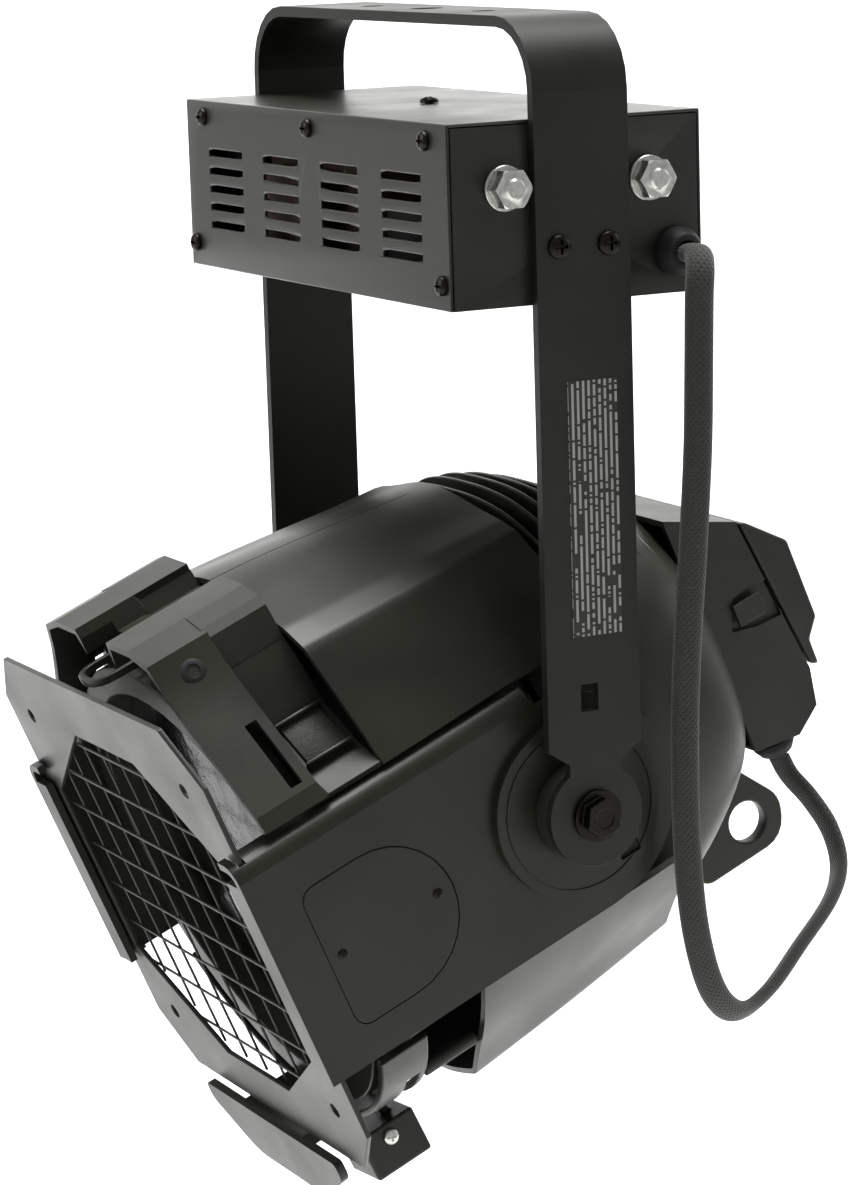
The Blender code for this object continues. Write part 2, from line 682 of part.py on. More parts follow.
def rear_casting(head):
    stations = [
        [head_at(across, forward, up) for across, up in ring_station(half, top, low)]
        for half, top, low, forward in CASTING_RINGS
    ]
    casting = shell("rear_casting", stations, CASTING_WALL, head, ring=True, outward=-1)
    for number in range(FIN_COUNT):
        forward = CASTING_FLARE - FIN_THICKNESS - number * FIN_PITCH
        sink = number / (FIN_COUNT - 1)
        outer = ring_station((88 - 6 * sink) * MM, (95 - 22 * sink**2) * MM, -80 * MM, 48)
        inner = ring_station((84 - 16 * sink) * MM, (80.5 - 14 * sink) * MM, -80 * MM, 48)
        outline = outer[3:22] + inner[3:22][::-1]
        fin = plate("fin_%d" % number, outline, FIN_THICKNESS, head, head_at(0, forward, 0))
        join(casting, fin)


def rear_cap(head):
    outline = scaled([(-98.5, 57.5), (-127, 41.6), (-133.6, -28), (-130.4, -43), (-118.7, -50), (-98.5, -46)])
    inner = scaled([(-90, 58.5), (-98.5, 54.5), (-124.5, 40), (-130.9, -27.6), (-128, -41), (-118, -47), (-90, -43)])
    cap = plate("rear_cap", outline, 2 * CAP_HALF, head, turn=SIDE_ON)
    cut(cap, plate("cap_inside", inner, 2 * (CAP_HALF - CAP_WALL), head, turn=SIDE_ON))
    cut(cap, box("lamp_opening", (76 * MM, 20 * MM, 50 * MM), head, head_at(0, -130 * MM, 8 * MM)))
    entry = head_at(37 * MM, -113 * MM, -48 * MM)
    cut(cap, cylinder("entry_hole", 5.5 * MM + GAP, 16 * MM, head, entry))
    gland_at = head_at(37 * MM, -113 * MM, -50.5 * MM)
    profile = [(4.2 * MM, 7 * MM), (6.5 * MM, 6.4 * MM), (8.5 * MM, 3 * MM), (8.5 * MM, GAP), (5.5 * MM, GAP)]
    profile += [(5.5 * MM, -7 * MM), (4.2 * MM, -7 * MM)]
    turned("head_gland", profile, head, gland_at, DOWN, 20, closed=True)
    catch_at = head_at(CAP_HALF + GAP + 1 * MM, -118 * MM, 8 * MM)
    box("door_catch", (2 * MM, 13 * MM, 9 * MM), head, catch_at)


def lamp_door(head):
    outline = scaled([(-128.2, 40.2), (-131, 39), (-145, 23.4), (-144.7, -10.6), (-138.4, -17.7), (-138.2, -28.6),
                      (-134.8, -27), (-128.7, 36)])
    door = plate("lamp_door", outline, 2 * CAP_HALF, head, turn=SIDE_ON)
    hollow = scaled([(-126, 30), (-132, 33), (-142.5, 22), (-142.2, -9.5), (-137, -14), (-130, -14)])
    cut(door, plate("door_inside", hollow, 2 * (CAP_HALF - 2 * CAP_WALL), head, turn=SIDE_ON))


def optics(head):
    axis = head_at(0, 0, AXIS_U)
    inner = BARREL_RADIUS - BARREL_WALL
    back = SHELL_BACK + 30 * MM
    front = RING_BACK - 1 * MM
    profile = [(BARREL_RADIUS, front), (BARREL_RADIUS, back), (inner, back), (inner, front)]
    turned("lens_barrel", profile, head, axis, FACE_ON, 48, closed=True)
    depth = 108 * MM
    mouth = inner - 2 * MM
    start = -34 * MM
    outer = []
    for step in range(9):
        along = depth * (1 - step / 8) ** 1.5
        outer.append((14 * MM + (mouth - 14 * MM) * math.sqrt(along / depth), start + along))
    profile = outer + [(radius - 1.5 * MM, height + 0.6 * MM) for radius, height in reversed(outer)]
    turned("reflector", profile, head, axis, FACE_ON, 36, closed=True)
    bulb = [(0, 30 * MM), (7 * MM, 28 * MM), (9.5 * MM, 22 * MM), (9.5 * MM, -40 * MM), (11 * MM, -42 * MM)]
    bulb += [(11 * MM, -60 * MM), (0, -60 * MM)]
    turned("discharge_lamp", bulb, head, axis, FACE_ON, 20)
    holder = [(18 * MM, -60.5 * MM), (18 * MM, -78 * MM), (40 * MM, -79 * MM), (40 * MM, -82 * MM)]
    holder += [(0, -82 * MM), (0, -60.5 * MM)]
    turned("lamp_holder", holder[-1:] + holder[:-1], head, axis, FACE_ON, 24)


def lens_set(head):
    axis = head_at(0, 0, AXIS_U)
    bore = 83.5 * MM
    profile = [(RING_RADIUS, RING_FRONT), (RING_RADIUS, RING_BACK), (79 * MM, RING_BACK)]
    profile += [(79 * MM, RING_BACK + 2 * MM), (bore, RING_BACK + 2 * MM), (bore, RING_FRONT)]
    turned("lens_ring", profile, head, axis, FACE_ON, 48, closed=True)
    seat = RING_BACK + 2 * MM + GAP
    lens = [(0, seat + 9 * MM), (40 * MM, seat + 7.7 * MM), (65 * MM, seat + 5.4 * MM)]
    lens += [(bore - GAP, seat + 3 * MM), (bore - GAP, seat), (0, seat)]
    turned("front_lens", lens, head, axis, FACE_ON, 36)
    tilt = Vector((math.sin(LEVER_ANGLE), -math.cos(LEVER_ANGLE)))
    block_middle = 117 * MM + AXIS_U
    low = tilt * block_middle
    block_at = head_at(low.x, 94.5 * MM, low.y + AXIS_U)
    turn = (0, LEVER_ANGLE * -1, 0)
    lever = box("focus_lever", (26 * MM, 25 * MM, 19 * MM), head, block_at, turn)
    stem_top = RING_RADIUS + 2 * GAP
    stem_low = 112 * MM
    stem = tilt * (stem_top + stem_low) / 2
    stem_at = head_at(stem.x, 89.5 * MM, stem.y + AXIS_U)
    join(lever, box("lever_stem", (7 * MM, 4 * MM, stem_low - stem_top), head, stem_at, turn))


def fixed_band(head):
    outer = BAND_RADIUS
    inner = outer - BAND_WALL
    down = -math.pi / 2
    outline = arc(0, AXIS_U, outer, down - BAND_HALF_ANGLE, down + BAND_HALF_ANGLE, 24)
    outline += arc(0, AXIS_U, inner, down + BAND_HALF_ANGLE, down - BAND_HALF_ANGLE, 24)
    middle = head_at(0, (BAND_FRONT + BAND_BACK) / 2, 0)
    band = plate("front_band", outline, BAND_FRONT - BAND_BACK, head, middle)
    slot = arc(0, AXIS_U, outer + 5 * MM, down - LEVER_SLOT_HALF, down + LEVER_SLOT_HALF, 20)
    slot += arc(0, AXIS_U, inner - 5 * MM, down + LEVER_SLOT_HALF, down - LEVER_SLOT_HALF, 20)
    cut(band, plate("lever_slot", slot, 6 * MM, head, head_at(0, 89.5 * MM, 0)))
    for name, across in (("right", 62 * MM), ("left", -62 * MM)):
        length = BAND_BACK - SHELL_FRONT - 2 * GAP
        middle = head_at(across, SHELL_FRONT + GAP + length / 2, -75.5 * MM)
        cylinder("tie_rod_" + name, 3 * MM, length, head, middle, FACE_ON, 16)


def bottom_lip(head):
    lip_back = GUARD_FRONT + 1.5 * MM
    lip_front = lip_back + 3.5 * MM
    half = 58 * MM
    top = -90.5 * MM
    outline = rounded([(half, top, 2 * MM), (half + 1 * MM, -98 * MM, 6 * MM), (30 * MM, -115 * MM, 30 * MM),
                       (-30 * MM, -115 * MM, 30 * MM), (-half - 1 * MM, -98 * MM, 6 * MM), (-half, top, 2 * MM)])
    lip = plate("bottom_lip", outline, lip_front - lip_back, head, head_at(0, (lip_back + lip_front) / 2, 0))
    down = -math.pi / 2
    reach = math.radians(16)
    ledge = arc(0, AXIS_U, BAND_RADIUS, down - reach, down + reach, 10)
    ledge += arc(0, AXIS_U, BAND_RADIUS - 5 * MM, down + reach, down - reach, 10)
    start = BAND_FRONT + GAP
    end = lip_back + 1 * MM
    join(lip, plate("lip_ledge", ledge, end - start, head, head_at(0, (start + end) / 2, 0)))


def safety_eye(head):
    outline = rounded([
        (-60 * MM, -76 * MM, 0), (-96 * MM, -44 * MM, 0), (-109 * MM, -71 * MM, 8 * MM), (-123 * MM, -92 * MM, 12 * MM),
        (-118 * MM, -109 * MM, 12 * MM), (-78 * MM, -109 * MM, 6 * MM),
    ])
    eye = plate("safety_eye", outline, EYE_THICKNESS, head, turn=SIDE_ON)
    cut(eye, cylinder("eye_hole", EYE_HOLE, 20 * MM, head, head_at(0, -105 * MM, -94 * MM), ALONG_X, 24))
    under = [(forward - GAP, low - 2 * GAP) for half, top, low, forward in CASTING_RINGS[2:]]
    core = [(CASTING_FLARE, 0), *under, (CASTING_BACK - GAP, 0)]
    cut(eye, plate("eye_seat", core, 20 * MM, head, turn=SIDE_ON))


def guard(head):
    half = GUARD_SIZE / 2
    top = GUARD_CENTRE_U + half
    low = GUARD_CENTRE_U - half
    edge = half - GUARD_CHAMFER
    outline = [
        (half, low + GUARD_CHAMFER), (half, top - GUARD_CHAMFER), (edge, top), (-edge, top),
        (-half, top - GUARD_CHAMFER), (-half, low + GUARD_CHAMFER), (-edge, low), (edge, low),
    ]
    middle = head_at(0, GUARD_FRONT - GUARD_THICKNESS / 2, 0)
    frame = plate("guard_frame", outline, GUARD_THICKNESS, head, middle)
    opening = [
        (OPENING_HALF, OPENING_LOW / 2), (OPENING_HALF, OPENING_TOP / 2), (OPENING_FLAT, OPENING_TOP),
        (-OPENING_FLAT, OPENING_TOP), (-OPENING_HALF, OPENING_TOP / 2), (-OPENING_HALF, OPENING_LOW / 2),
        (-OPENING_FLAT, OPENING_LOW), (OPENING_FLAT, OPENING_LOW),
    ]
    cut(frame, plate("guard_opening", opening, 6 * GUARD_THICKNESS, head, middle))
    for name, across, up in (("tr", 73, 75), ("tl", -73, 75), ("br", 73, -64), ("bl", -73, -64)):
        at = head_at(across * MM, GUARD_FRONT, up * MM)
        cut(frame, cylinder("guard_hole_" + name, 3 * MM, 6 * GUARD_THICKNESS, head, at, FACE_ON, 14))
    mesh = bpy.data.meshes.new("guard_mesh")
    shape = bmesh.new()
    bmesh.ops.create_grid(shape, x_segments=9, y_segments=8, size=0.5)
    span = (9 * WIRE_PITCH, 8 * WIRE_PITCH, 1)
    bmesh.ops.scale(shape, vec=span, verts=shape.verts)
    shape.to_mesh(mesh)
    shape.free()
    back = GUARD_FRONT - GUARD_THICKNESS - GAP
    wires = piece("guard_mesh", mesh, head, head_at(0, back - WIRE / 2, (OPENING_TOP + OPENING_LOW) / 2), FACE_ON)
    lattice = wires.modifiers.new("wires", "WIREFRAME")
    lattice.thickness = WIRE
    lattice.use_even_offset = False
    lattice.use_boundary = True


def frame_latch(head):
    hinge_f = 98 * MM
    rise = 102.5 * MM
    nose = GUARD_FRONT - GUARD_THICKNESS - GAP - WIRE - SLIDE_GAP
    half = 11.3 * MM
    strip = 2.4 * MM
    tail = hinge_f - 2 * MM
    corner = 9 * MM
    outer = rounded([(-half, -nose, corner), (half, -nose, corner), (half, -tail, corner / 2), (-half, -tail, corner / 2)])
    hollow = half - strip
    inner = rounded([(-hollow, -nose + strip, corner - strip), (hollow, -nose + strip, corner - strip),
                     (hollow, -tail - strip, 2 * MM), (-hollow, -tail - strip, 2 * MM)])
    outer = [(across, along + hinge_f) for across, along in outer]
    inner = [(across, along + hinge_f) for across, along in inner]
    latch = plate("frame_latch", outer, 3 * MM, head, head_at(0, hinge_f, rise), UP)
    cut(latch, plate("latch_window", inner, 12 * MM, head, head_at(0, hinge_f, rise), UP))


clear_scene()

finish = ((0.012, 0.012, 0.013), 0.45, 0.0)
yoke_strap()
ballast_box()
lead_gland()
finish = ((0.03, 0.03, 0.032), 0.6, 0.2)
ballast_parts()
finish = ((0.01, 0.01, 0.01), 0.9, 0.0)
power_lead()

finish = ((0.02, 0.02, 0.022), 0.5, 0.1)
pivot = head_pivot()
side_panel(pivot, "side_panel_right", 1)
side_panel(pivot, "side_panel_left", -1)
pivot_set(pivot, "right", 1, ALONG_X)
pivot_set(pivot, "left", -1, AGAINST_X)
front_collar(pivot)
top_shell(pivot)
bottom_shell(pivot)
rear_casting(pivot)
rear_cap(pivot)
lamp_door(pivot)
optics(pivot)
lens_set(pivot)
fixed_band(pivot)
bottom_lip(pivot)
safety_eye(pivot)
guard(pivot)
frame_latch(pivot)
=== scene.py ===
"""Par can light with a ballast box on its yoke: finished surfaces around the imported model."""

import json
import math

import bmesh
import bpy
from bpy.props import FloatProperty, IntProperty, PointerProperty, StringProperty
from mathutils import Matrix, Vector


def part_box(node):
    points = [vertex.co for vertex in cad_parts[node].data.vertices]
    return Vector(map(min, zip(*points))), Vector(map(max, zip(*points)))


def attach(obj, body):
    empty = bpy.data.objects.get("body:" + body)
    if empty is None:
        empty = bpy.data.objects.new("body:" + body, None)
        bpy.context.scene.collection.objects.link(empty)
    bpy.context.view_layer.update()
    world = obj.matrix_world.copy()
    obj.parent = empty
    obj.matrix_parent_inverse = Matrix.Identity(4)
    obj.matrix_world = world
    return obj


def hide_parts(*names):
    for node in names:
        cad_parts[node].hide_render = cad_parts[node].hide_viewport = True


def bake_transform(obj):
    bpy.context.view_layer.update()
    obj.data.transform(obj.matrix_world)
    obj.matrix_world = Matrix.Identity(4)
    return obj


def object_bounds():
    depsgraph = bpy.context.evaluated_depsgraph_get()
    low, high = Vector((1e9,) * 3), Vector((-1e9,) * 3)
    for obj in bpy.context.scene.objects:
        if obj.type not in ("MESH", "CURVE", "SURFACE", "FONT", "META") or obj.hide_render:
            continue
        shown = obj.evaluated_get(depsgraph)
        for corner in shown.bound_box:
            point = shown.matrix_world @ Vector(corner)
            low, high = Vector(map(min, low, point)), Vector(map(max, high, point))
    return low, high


bl_info = {
    "name": "Par Can Light",
    "version": (1, 0, 0),
    "blender": (4, 5, 0),
    "location": "View3D > Sidebar > Par Can",
    "description": "Builds the finished surfaces of a par can light around its packed model",
    "category": "Object",
}

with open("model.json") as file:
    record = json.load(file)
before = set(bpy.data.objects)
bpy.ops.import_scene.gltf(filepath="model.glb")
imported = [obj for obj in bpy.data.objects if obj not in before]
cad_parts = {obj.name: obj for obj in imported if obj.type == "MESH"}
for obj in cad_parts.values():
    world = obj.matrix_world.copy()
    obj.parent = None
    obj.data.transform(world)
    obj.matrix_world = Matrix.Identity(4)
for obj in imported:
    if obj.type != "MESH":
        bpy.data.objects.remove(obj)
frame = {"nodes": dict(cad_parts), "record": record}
CAD_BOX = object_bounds()
NODES = frame["nodes"]
RECORD = frame["record"]
JOINTS = {joint["name"]: joint for joint in RECORD["behaviour"]["joints"]}

MM = 0.001
# Shading: edges that turn further than the smooth angle are sharp, and so is the line between a wide
# face and a far narrower one, as between a flat face and its rounded edge, unless the two lie flat
SMOOTH_ANGLE = math.radians(38)
FLAT_ANGLE = math.radians(2)
WIDE_TO_NARROW = 12
SMALLEST_AREA = 1e-12
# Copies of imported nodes: points closer than the weld are joined, flatter edges dissolved
WELD = 0.004 * MM
COPLANAR = math.radians(0.6)

# The head's own frame: across, forwards out of the lens, and up, from the pivot
PIVOT = Vector(JOINTS["head_tilt"]["pos_m"])
FORWARD = Vector(JOINTS["lens_rotate"]["axis"])
UPWARD = Vector(JOINTS["guard_slide"]["axis"])
ACROSS = Vector((1, 0, 0))
LENS_AXIS_UP = 3 * MM  # height of the lens axis over the pivot
SIDES = (("right", 1), ("left", -1))


def head_matrix():
    """Turns (across, forward, up) in the head's frame into the row frame."""
    columns = Matrix((ACROSS, FORWARD, UPWARD)).transposed().to_4x4()
    return Matrix.Translation(PIVOT) @ columns


HEAD = head_matrix()


def at_head(across, forward, up):
    return HEAD @ Vector((across, forward, up))


# Sizes and colours that a user would change


class ParCanSizes(bpy.types.PropertyGroup):
    fold_edge: FloatProperty(
        name="Fold edge", description="Rounding of folded and cut sheet edges",
        default=0.5 * MM, unit="LENGTH",
    )
    casting_edge: FloatProperty(
        name="Casting edge", description="Rounding of the collar's cast edges",
        default=2.0 * MM, unit="LENGTH",
    )
    wire: FloatProperty(
        name="Guard wire", description="Diameter of the guard's wires",
        default=1.1 * MM, unit="LENGTH",
    )
    wire_pitch: FloatProperty(
        name="Guard pitch", description="Spacing of the guard's wires",
        default=18.5 * MM, unit="LENGTH",
    )
    lead_width: FloatProperty(
        name="Lead width", description="Width of the flat braided lead",
        default=10.5 * MM, unit="LENGTH",
    )
    lead_thickness: FloatProperty(
        name="Lead thickness", description="Thickness of the flat braided lead",
        default=5.5 * MM, unit="LENGTH",
    )
    fins: IntProperty(name="Fins", description="Cooling fins behind the top shell", default=7, min=1)


class ParCanFinish(bpy.types.PropertyGroup):
    strap: StringProperty(
        name="Strap", description="Powder coat of the yoke, sRGB hex", default="#15150F"
    )
    sheet: StringProperty(
        name="Sheet", description="Enamel of the ballast box, sRGB hex", default="#1C1C15"
    )
    casting: StringProperty(
        name="Casting", description="Enamel of the head, sRGB hex", default="#1F1F17"
    )
    lead: StringProperty(
        name="Lead", description="Raised yarns of the braided sleeve, sRGB hex", default="#23241D"
    )


def sizes():
    return bpy.context.scene.par_can_sizes


def finishes():
    return bpy.context.scene.par_can_finish


# Materials


def linear(code):
    """An sRGB hex colour as linear red, green, blue and alpha."""
    values = [int(code[index:index + 2], 16) / 255 for index in (1, 3, 5)]
    return [*(v / 12.92 if v <= 0.04045 else ((v + 0.055) / 1.055) ** 2.4 for v in values), 1.0]


def add_node(tree, kind, inputs=None, **settings):
    """Adds a node with its settings; inputs maps a socket to a value or to another node's output."""
    node = tree.nodes.new(kind)
    for name, value in settings.items():
        setattr(node, name, value)
    for name, value in (inputs or {}).items():
        if isinstance(value, bpy.types.NodeSocket):
            tree.links.new(value, node.inputs[name])
        else:
            node.inputs[name].default_value = value
    return node


def blank_material(name, constants):
    """A material with constants on its shader, its tree and a point to read patterns from."""
    made = bpy.data.materials.new(name)
    made.use_nodes = True
    tree = made.node_tree
    shader = tree.nodes["Principled BSDF"]
    for socket, value in constants.items():
        shader.inputs[socket].default_value = value
    place = add_node(tree, "ShaderNodeTexCoord").outputs["Object"]
    return made, tree, shader, place


# Each of these adds one node and gives its result as a socket


def maths(tree, operation, *values):
    return add_node(tree, "ShaderNodeMath", dict(enumerate(values)), operation=operation).outputs[0]


def noise(tree, place, scale, detail=2.0):
    inputs = {"Vector": place, "Scale": scale, "Detail": detail}
    return add_node(tree, "ShaderNodeTexNoise", inputs).outputs["Fac"]


def ranged(tree, value, start=0.0, end=1.0, low=0.0, high=1.0):
    inputs = {"Value": value, "From Min": start, "From Max": end, "To Min": low, "To Max": high}
    return add_node(tree, "ShaderNodeMapRange", inputs).outputs[0]


def tinted(tree, factor, low, high):
    return add_node(tree, "ShaderNodeMix", {"Factor": factor, 6: low, 7: high}, data_type="RGBA").outputs[2]


def relief(tree, shader, height, strength, depth):
    """Gives the shader a relief, its depth in metres."""
    bump = add_node(tree, "ShaderNodeBump", {"Height": height, "Strength": strength, "Distance": depth})
    tree.links.new(bump.outputs[0], shader.inputs["Normal"])


def coated(name, code, roughness, grain, depth, spread=0.12, coat=0.0):
    """A sprayed finish: grain in metres gives its orange peel, spread its cloudiness."""
    constants = {"Specular IOR Level": 0.32, "Coat Weight": coat, "Coat Roughness": 0.25}
    made, tree, shader, place = blank_material(name, constants)
    peel = noise(tree, place, 1 / grain, 3.0)
    cloud = noise(tree, place, 28.0, 5.0)
    colour = linear(code)
    light = [min(1, value * (1 + 2.2 * spread)) for value in colour[:3]] + [1]
    dark = [value * (1 - 2 * spread) for value in colour[:3]] + [1]
    tone = tinted(tree, ranged(tree, cloud, 0.3, 0.7), dark, light)
    tree.links.new(tone, shader.inputs["Base Color"])
    rough = ranged(tree, cloud, 0.3, 0.7, roughness - 0.05, roughness + 0.07)
    tree.links.new(rough, shader.inputs["Roughness"])
    relief(tree, shader, peel, 0.35, depth)
    return made


def powder_coated_steel():
    # Powder coat over steel strap: even satin black with a faint orange peel.
    return coated("powder_coated_steel", finishes().strap, 0.42, 1.3 * MM, 0.05 * MM)


def enamelled_sheet():
    # Baked enamel over folded sheet: smoother and a little glossier than the strap.
    return coated("enamelled_sheet_steel", finishes().sheet, 0.34, 1.0 * MM, 0.03 * MM, coat=0.15)


def enamelled_casting():
    # Enamel over die-cast aluminium: satin, with the casting's fine skin showing through.
    return coated("enamelled_die_cast_aluminium", finishes().casting, 0.40, 1.6 * MM, 0.09 * MM, 0.14)


def rough_casting():
    # As-cast pad left under the enamel: coarse grain that catches light.
    return coated("grained_die_cast_aluminium", "#2B2C27", 0.55, 0.8 * MM, 0.6 * MM, 0.2)


def stamped_guard():
    # Thin black enamel over stamped sheet and wire: paler and even, with hardly any peel.
    return coated("enamelled_guard_sheet", "#23241F", 0.38, 1.1 * MM, 0.04 * MM, 0.1)


def ceramic():
    # Unglazed steatite: off-white and matt, with hardly any mottling.
    return coated("unglazed_steatite", "#D8D2C4", 0.75, 0.9 * MM, 0.05 * MM, 0.05)


def nitrile_rubber():
    # Moulded nitrile rubber: matt black with a fine skin.
    return coated("moulded_nitrile_rubber", "#0B0B09", 0.62, 0.7 * MM, 0.05 * MM, 0.1)


def moulded_nylon():
    # Glass-filled nylon: matt black, slightly mottled.
    return coated("moulded_nylon", "#20211E", 0.5, 0.8 * MM, 0.06 * MM, 0.1)


def blackened_steel():
    # Black oxide over steel screws and bolts: dark, metallic, slightly brown.
    constants = {"Metallic": 1.0, "Roughness": 0.33}
    made, tree, shader, place = blank_material("black_oxide_steel", constants)
    tone = tinted(tree, noise(tree, place, 900.0, 4.0), linear("#141311"), linear("#33312D"))
    tree.links.new(tone, shader.inputs["Base Color"])
    return made


def zinc_plate():
    # Bright zinc over turned steel: pale grey, with soft smears in colour and shine.
    made, tree, shader, place = blank_material("bright_zinc_plate", {"Metallic": 1.0})
    smear = noise(tree, place, 500.0, 6.0)
    tone = tinted(tree, smear, linear("#A9A9A4"), linear("#E4E4E0"))
    tree.links.new(tone, shader.inputs["Base Color"])
    tree.links.new(ranged(tree, smear, low=0.18, high=0.42), shader.inputs["Roughness"])
    return made


def spun_aluminium():
    # Spun and brightened aluminium: mirror-like, with fine bands of spinning marks.
    constants = {"Base Color": linear("#A9AAAB"), "Metallic": 1.0, "Roughness": 0.22}
    made, tree, shader, place = blank_material("spun_bright_aluminium", constants)
    rings = add_node(
        tree, "ShaderNodeTexWave", {"Vector": place, "Scale": 320.0, "Distortion": 1.5, "Detail": 2.0},
        bands_direction="Y",
    )
    relief(tree, shader, rings.outputs["Fac"], 0.15, 0.05 * MM)
    return made


def pressed_glass():
    # Pressed borosilicate: clear, with rounded stipple about 4 mm across that blurs what is behind. Its
    # grey base colour is painted shade that darkens what shows through it.
    constants = {
        "Base Color": linear("#565A59"), "Roughness": 0.12, "Transmission Weight": 1.0, "IOR": 1.33,
    }
    made, tree, shader, place = blank_material("pressed_borosilicate_glass", constants)
    cells = add_node(
        tree, "ShaderNodeTexVoronoi", {"Vector": place, "Scale": 1 / (4 * MM)}, feature="SMOOTH_F1"
    )
    relief(tree, shader, cells.outputs["Distance"], 0.3, 0.25 * MM)
    return made


def lamp_glass():
    # Fused quartz: clear and colourless.
    constants = {"Roughness": 0.05, "Transmission Weight": 1.0, "IOR": 1.46}
    made, tree, shader, place = blank_material("fused_quartz", constants)
    tone = tinted(tree, noise(tree, place, 120.0), linear("#E8E8E6"), linear("#FFFFFF"))
    tree.links.new(tone, shader.inputs["Base Color"])
    return made


def laminated_iron():
    # Varnished iron laminations: thin brown bands, drawn wider than real ones so that they show.
    constants = {"Metallic": 0.6, "Roughness": 0.5}
    made, tree, shader, place = blank_material("varnished_laminations", constants)
    bands = add_node(tree, "ShaderNodeTexWave", {"Vector": place, "Scale": 160.0}, bands_direction="X")
    tone = tinted(tree, bands.outputs["Fac"], linear("#2A221C"), linear("#6B5A4A"))
    tree.links.new(tone, shader.inputs["Base Color"])
    return made


def braided_sleeve():
    # Braided glass-fibre sleeve: crossing yarns about 1 mm wide, drawn 1.4 mm so they show, with painted
    # shade near-black in the gaps between them.
    constants = {"Roughness": 0.85, "Sheen Weight": 0.25}
    made, tree, shader, _ = blank_material("braided_glass_fibre_sleeve", constants)
    weave = add_node(tree, "ShaderNodeUVMap", uv_map="run").outputs[0]
    yarns = []
    for turn in (math.radians(35), math.radians(-35)):
        spun = add_node(tree, "ShaderNodeMapping", {"Vector": weave, "Rotation": (0, 0, turn)})
        wave = {"Vector": spun.outputs[0], "Scale": 1 / 1.4 / 3.2, "Distortion": 0.4, "Detail": 1.0}
        yarns.append(add_node(tree, "ShaderNodeTexWave", wave, bands_direction="X").outputs["Fac"])
    over = maths(tree, "MAXIMUM", *yarns)
    # Painted shade: near-black where no yarn is raised, the lead colour on the raised yarns.
    weave_and_painted_gap_shade = tinted(tree, over, linear("#0D0E0A"), linear(finishes().lead))
    worn = ranged(tree, noise(tree, weave, 0.9, 6.0), 0.55, 0.8)
    tone = tinted(tree, worn, weave_and_painted_gap_shade, linear("#34352D"))
    tree.links.new(tone, shader.inputs["Base Color"])
    relief(tree, shader, over, 0.7, 0.35 * MM)
    return made


def vinyl_label():
    # Printed vinyl: a dark matt sticker whose print is stood for by plain pale dashes.
    made, tree, shader, place = blank_material("printed_vinyl", {"Roughness": 0.55})
    lanes = add_node(tree, "ShaderNodeSeparateXYZ", {"Vector": place})
    lane = maths(tree, "MULTIPLY", lanes.outputs["Y"], 1 / (2.2 * MM))
    inside = maths(tree, "LESS_THAN", maths(tree, "FRACT", lane), 0.45)
    whole = maths(tree, "FLOOR", lane)
    strip = add_node(tree, "ShaderNodeCombineXYZ", {"X": whole, "Y": lanes.outputs["Z"]}).outputs[0]
    inks = []
    for length, share in ((0.8 * MM, 0.16), (3.9 * MM, 0.06)):
        stretch = add_node(
            tree, "ShaderNodeMapping", {"Vector": strip, "Scale": (7.3, 1 / length, 1.0)}
        ).outputs[0]
        step = add_node(tree, "ShaderNodeVectorMath", {0: stretch}, operation="FLOOR").outputs[0]
        words = add_node(tree, "ShaderNodeTexWhiteNoise", {"Vector": step}, noise_dimensions="2D")
        inks.append(maths(tree, "GREATER_THAN", words.outputs["Value"], share))
    ink = maths(tree, "MULTIPLY", maths(tree, "MULTIPLY", *inks), inside)
    tree.links.new(tinted(tree, ink, linear("#151512"), linear("#8D8E88")), shader.inputs["Base Color"])
    return made


FINISH_MAKERS = {
    "black_coated_steel": powder_coated_steel,
    "black_box_sheet": enamelled_sheet,
    "black_cast_housing": enamelled_casting,
    "black_guard_sheet": stamped_guard,
    "guard_wire": stamped_guard,
    "black_zinc_screw": blackened_steel,
    "black_bolt": blackened_steel,
    "zinc_fastener": zinc_plate,
    "polished_reflector": spun_aluminium,
    "lens_glass": pressed_glass,
    "lamp_glass": lamp_glass,
    "white_ceramic": ceramic,
    "black_rubber": nitrile_rubber,
    "black_moulding": moulded_nylon,
    "laminated_core": laminated_iron,
    "braided_sleeve": braided_sleeve,
    "inner_metal": moulded_nylon,
}
finish_cache = {}


def finish(slot):
    """The material of one of the record's slots."""
    maker = FINISH_MAKERS[slot]
    if maker not in finish_cache:
        finish_cache[maker] = maker()
    return finish_cache[maker]


SLOT_OF = {entry["node"]: entry["material_slot"] for entry in RECORD["subparts"]}
BODY_OF = {node: body for body, nodes in RECORD["behaviour"]["bodies"].items() for node in nodes}


# Mesh helpers


def new_object(name, data):
    """An object in the scene around a mesh, a camera or a light."""
    made = bpy.data.objects.new(name, data)
    bpy.context.scene.collection.objects.link(made)
    return made


def settled(obj):
    """Bakes an object's modifiers and place into its mesh, and stands it at the origin."""
    bpy.context.view_layer.update()
    evaluated = obj.evaluated_get(bpy.context.evaluated_depsgraph_get())
    mesh = bpy.data.meshes.new_from_object(evaluated)
    mesh.transform(obj.matrix_world)
    if obj.matrix_world.determinant() < 0:
        mesh.flip_normals()
    name = obj.name
    bpy.data.objects.remove(obj)
    mesh.name = name
    return new_object(name, mesh)


def placed(obj, body, nodes=()):
    """Gives a settled piece its body and hides the nodes that it stands for."""
    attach(obj, body)
    if nodes:
        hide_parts(*nodes)
    return obj


def paint(obj, material):
    obj.data.materials.clear()
    obj.data.materials.append(material)
    return obj


def cast(obj, *nodes):
    """Enamels a piece of the head's casting, rides it on the head and hides the nodes it stands for."""
    paint(obj, finish("black_cast_housing"))
    return placed(obj, "head", nodes)


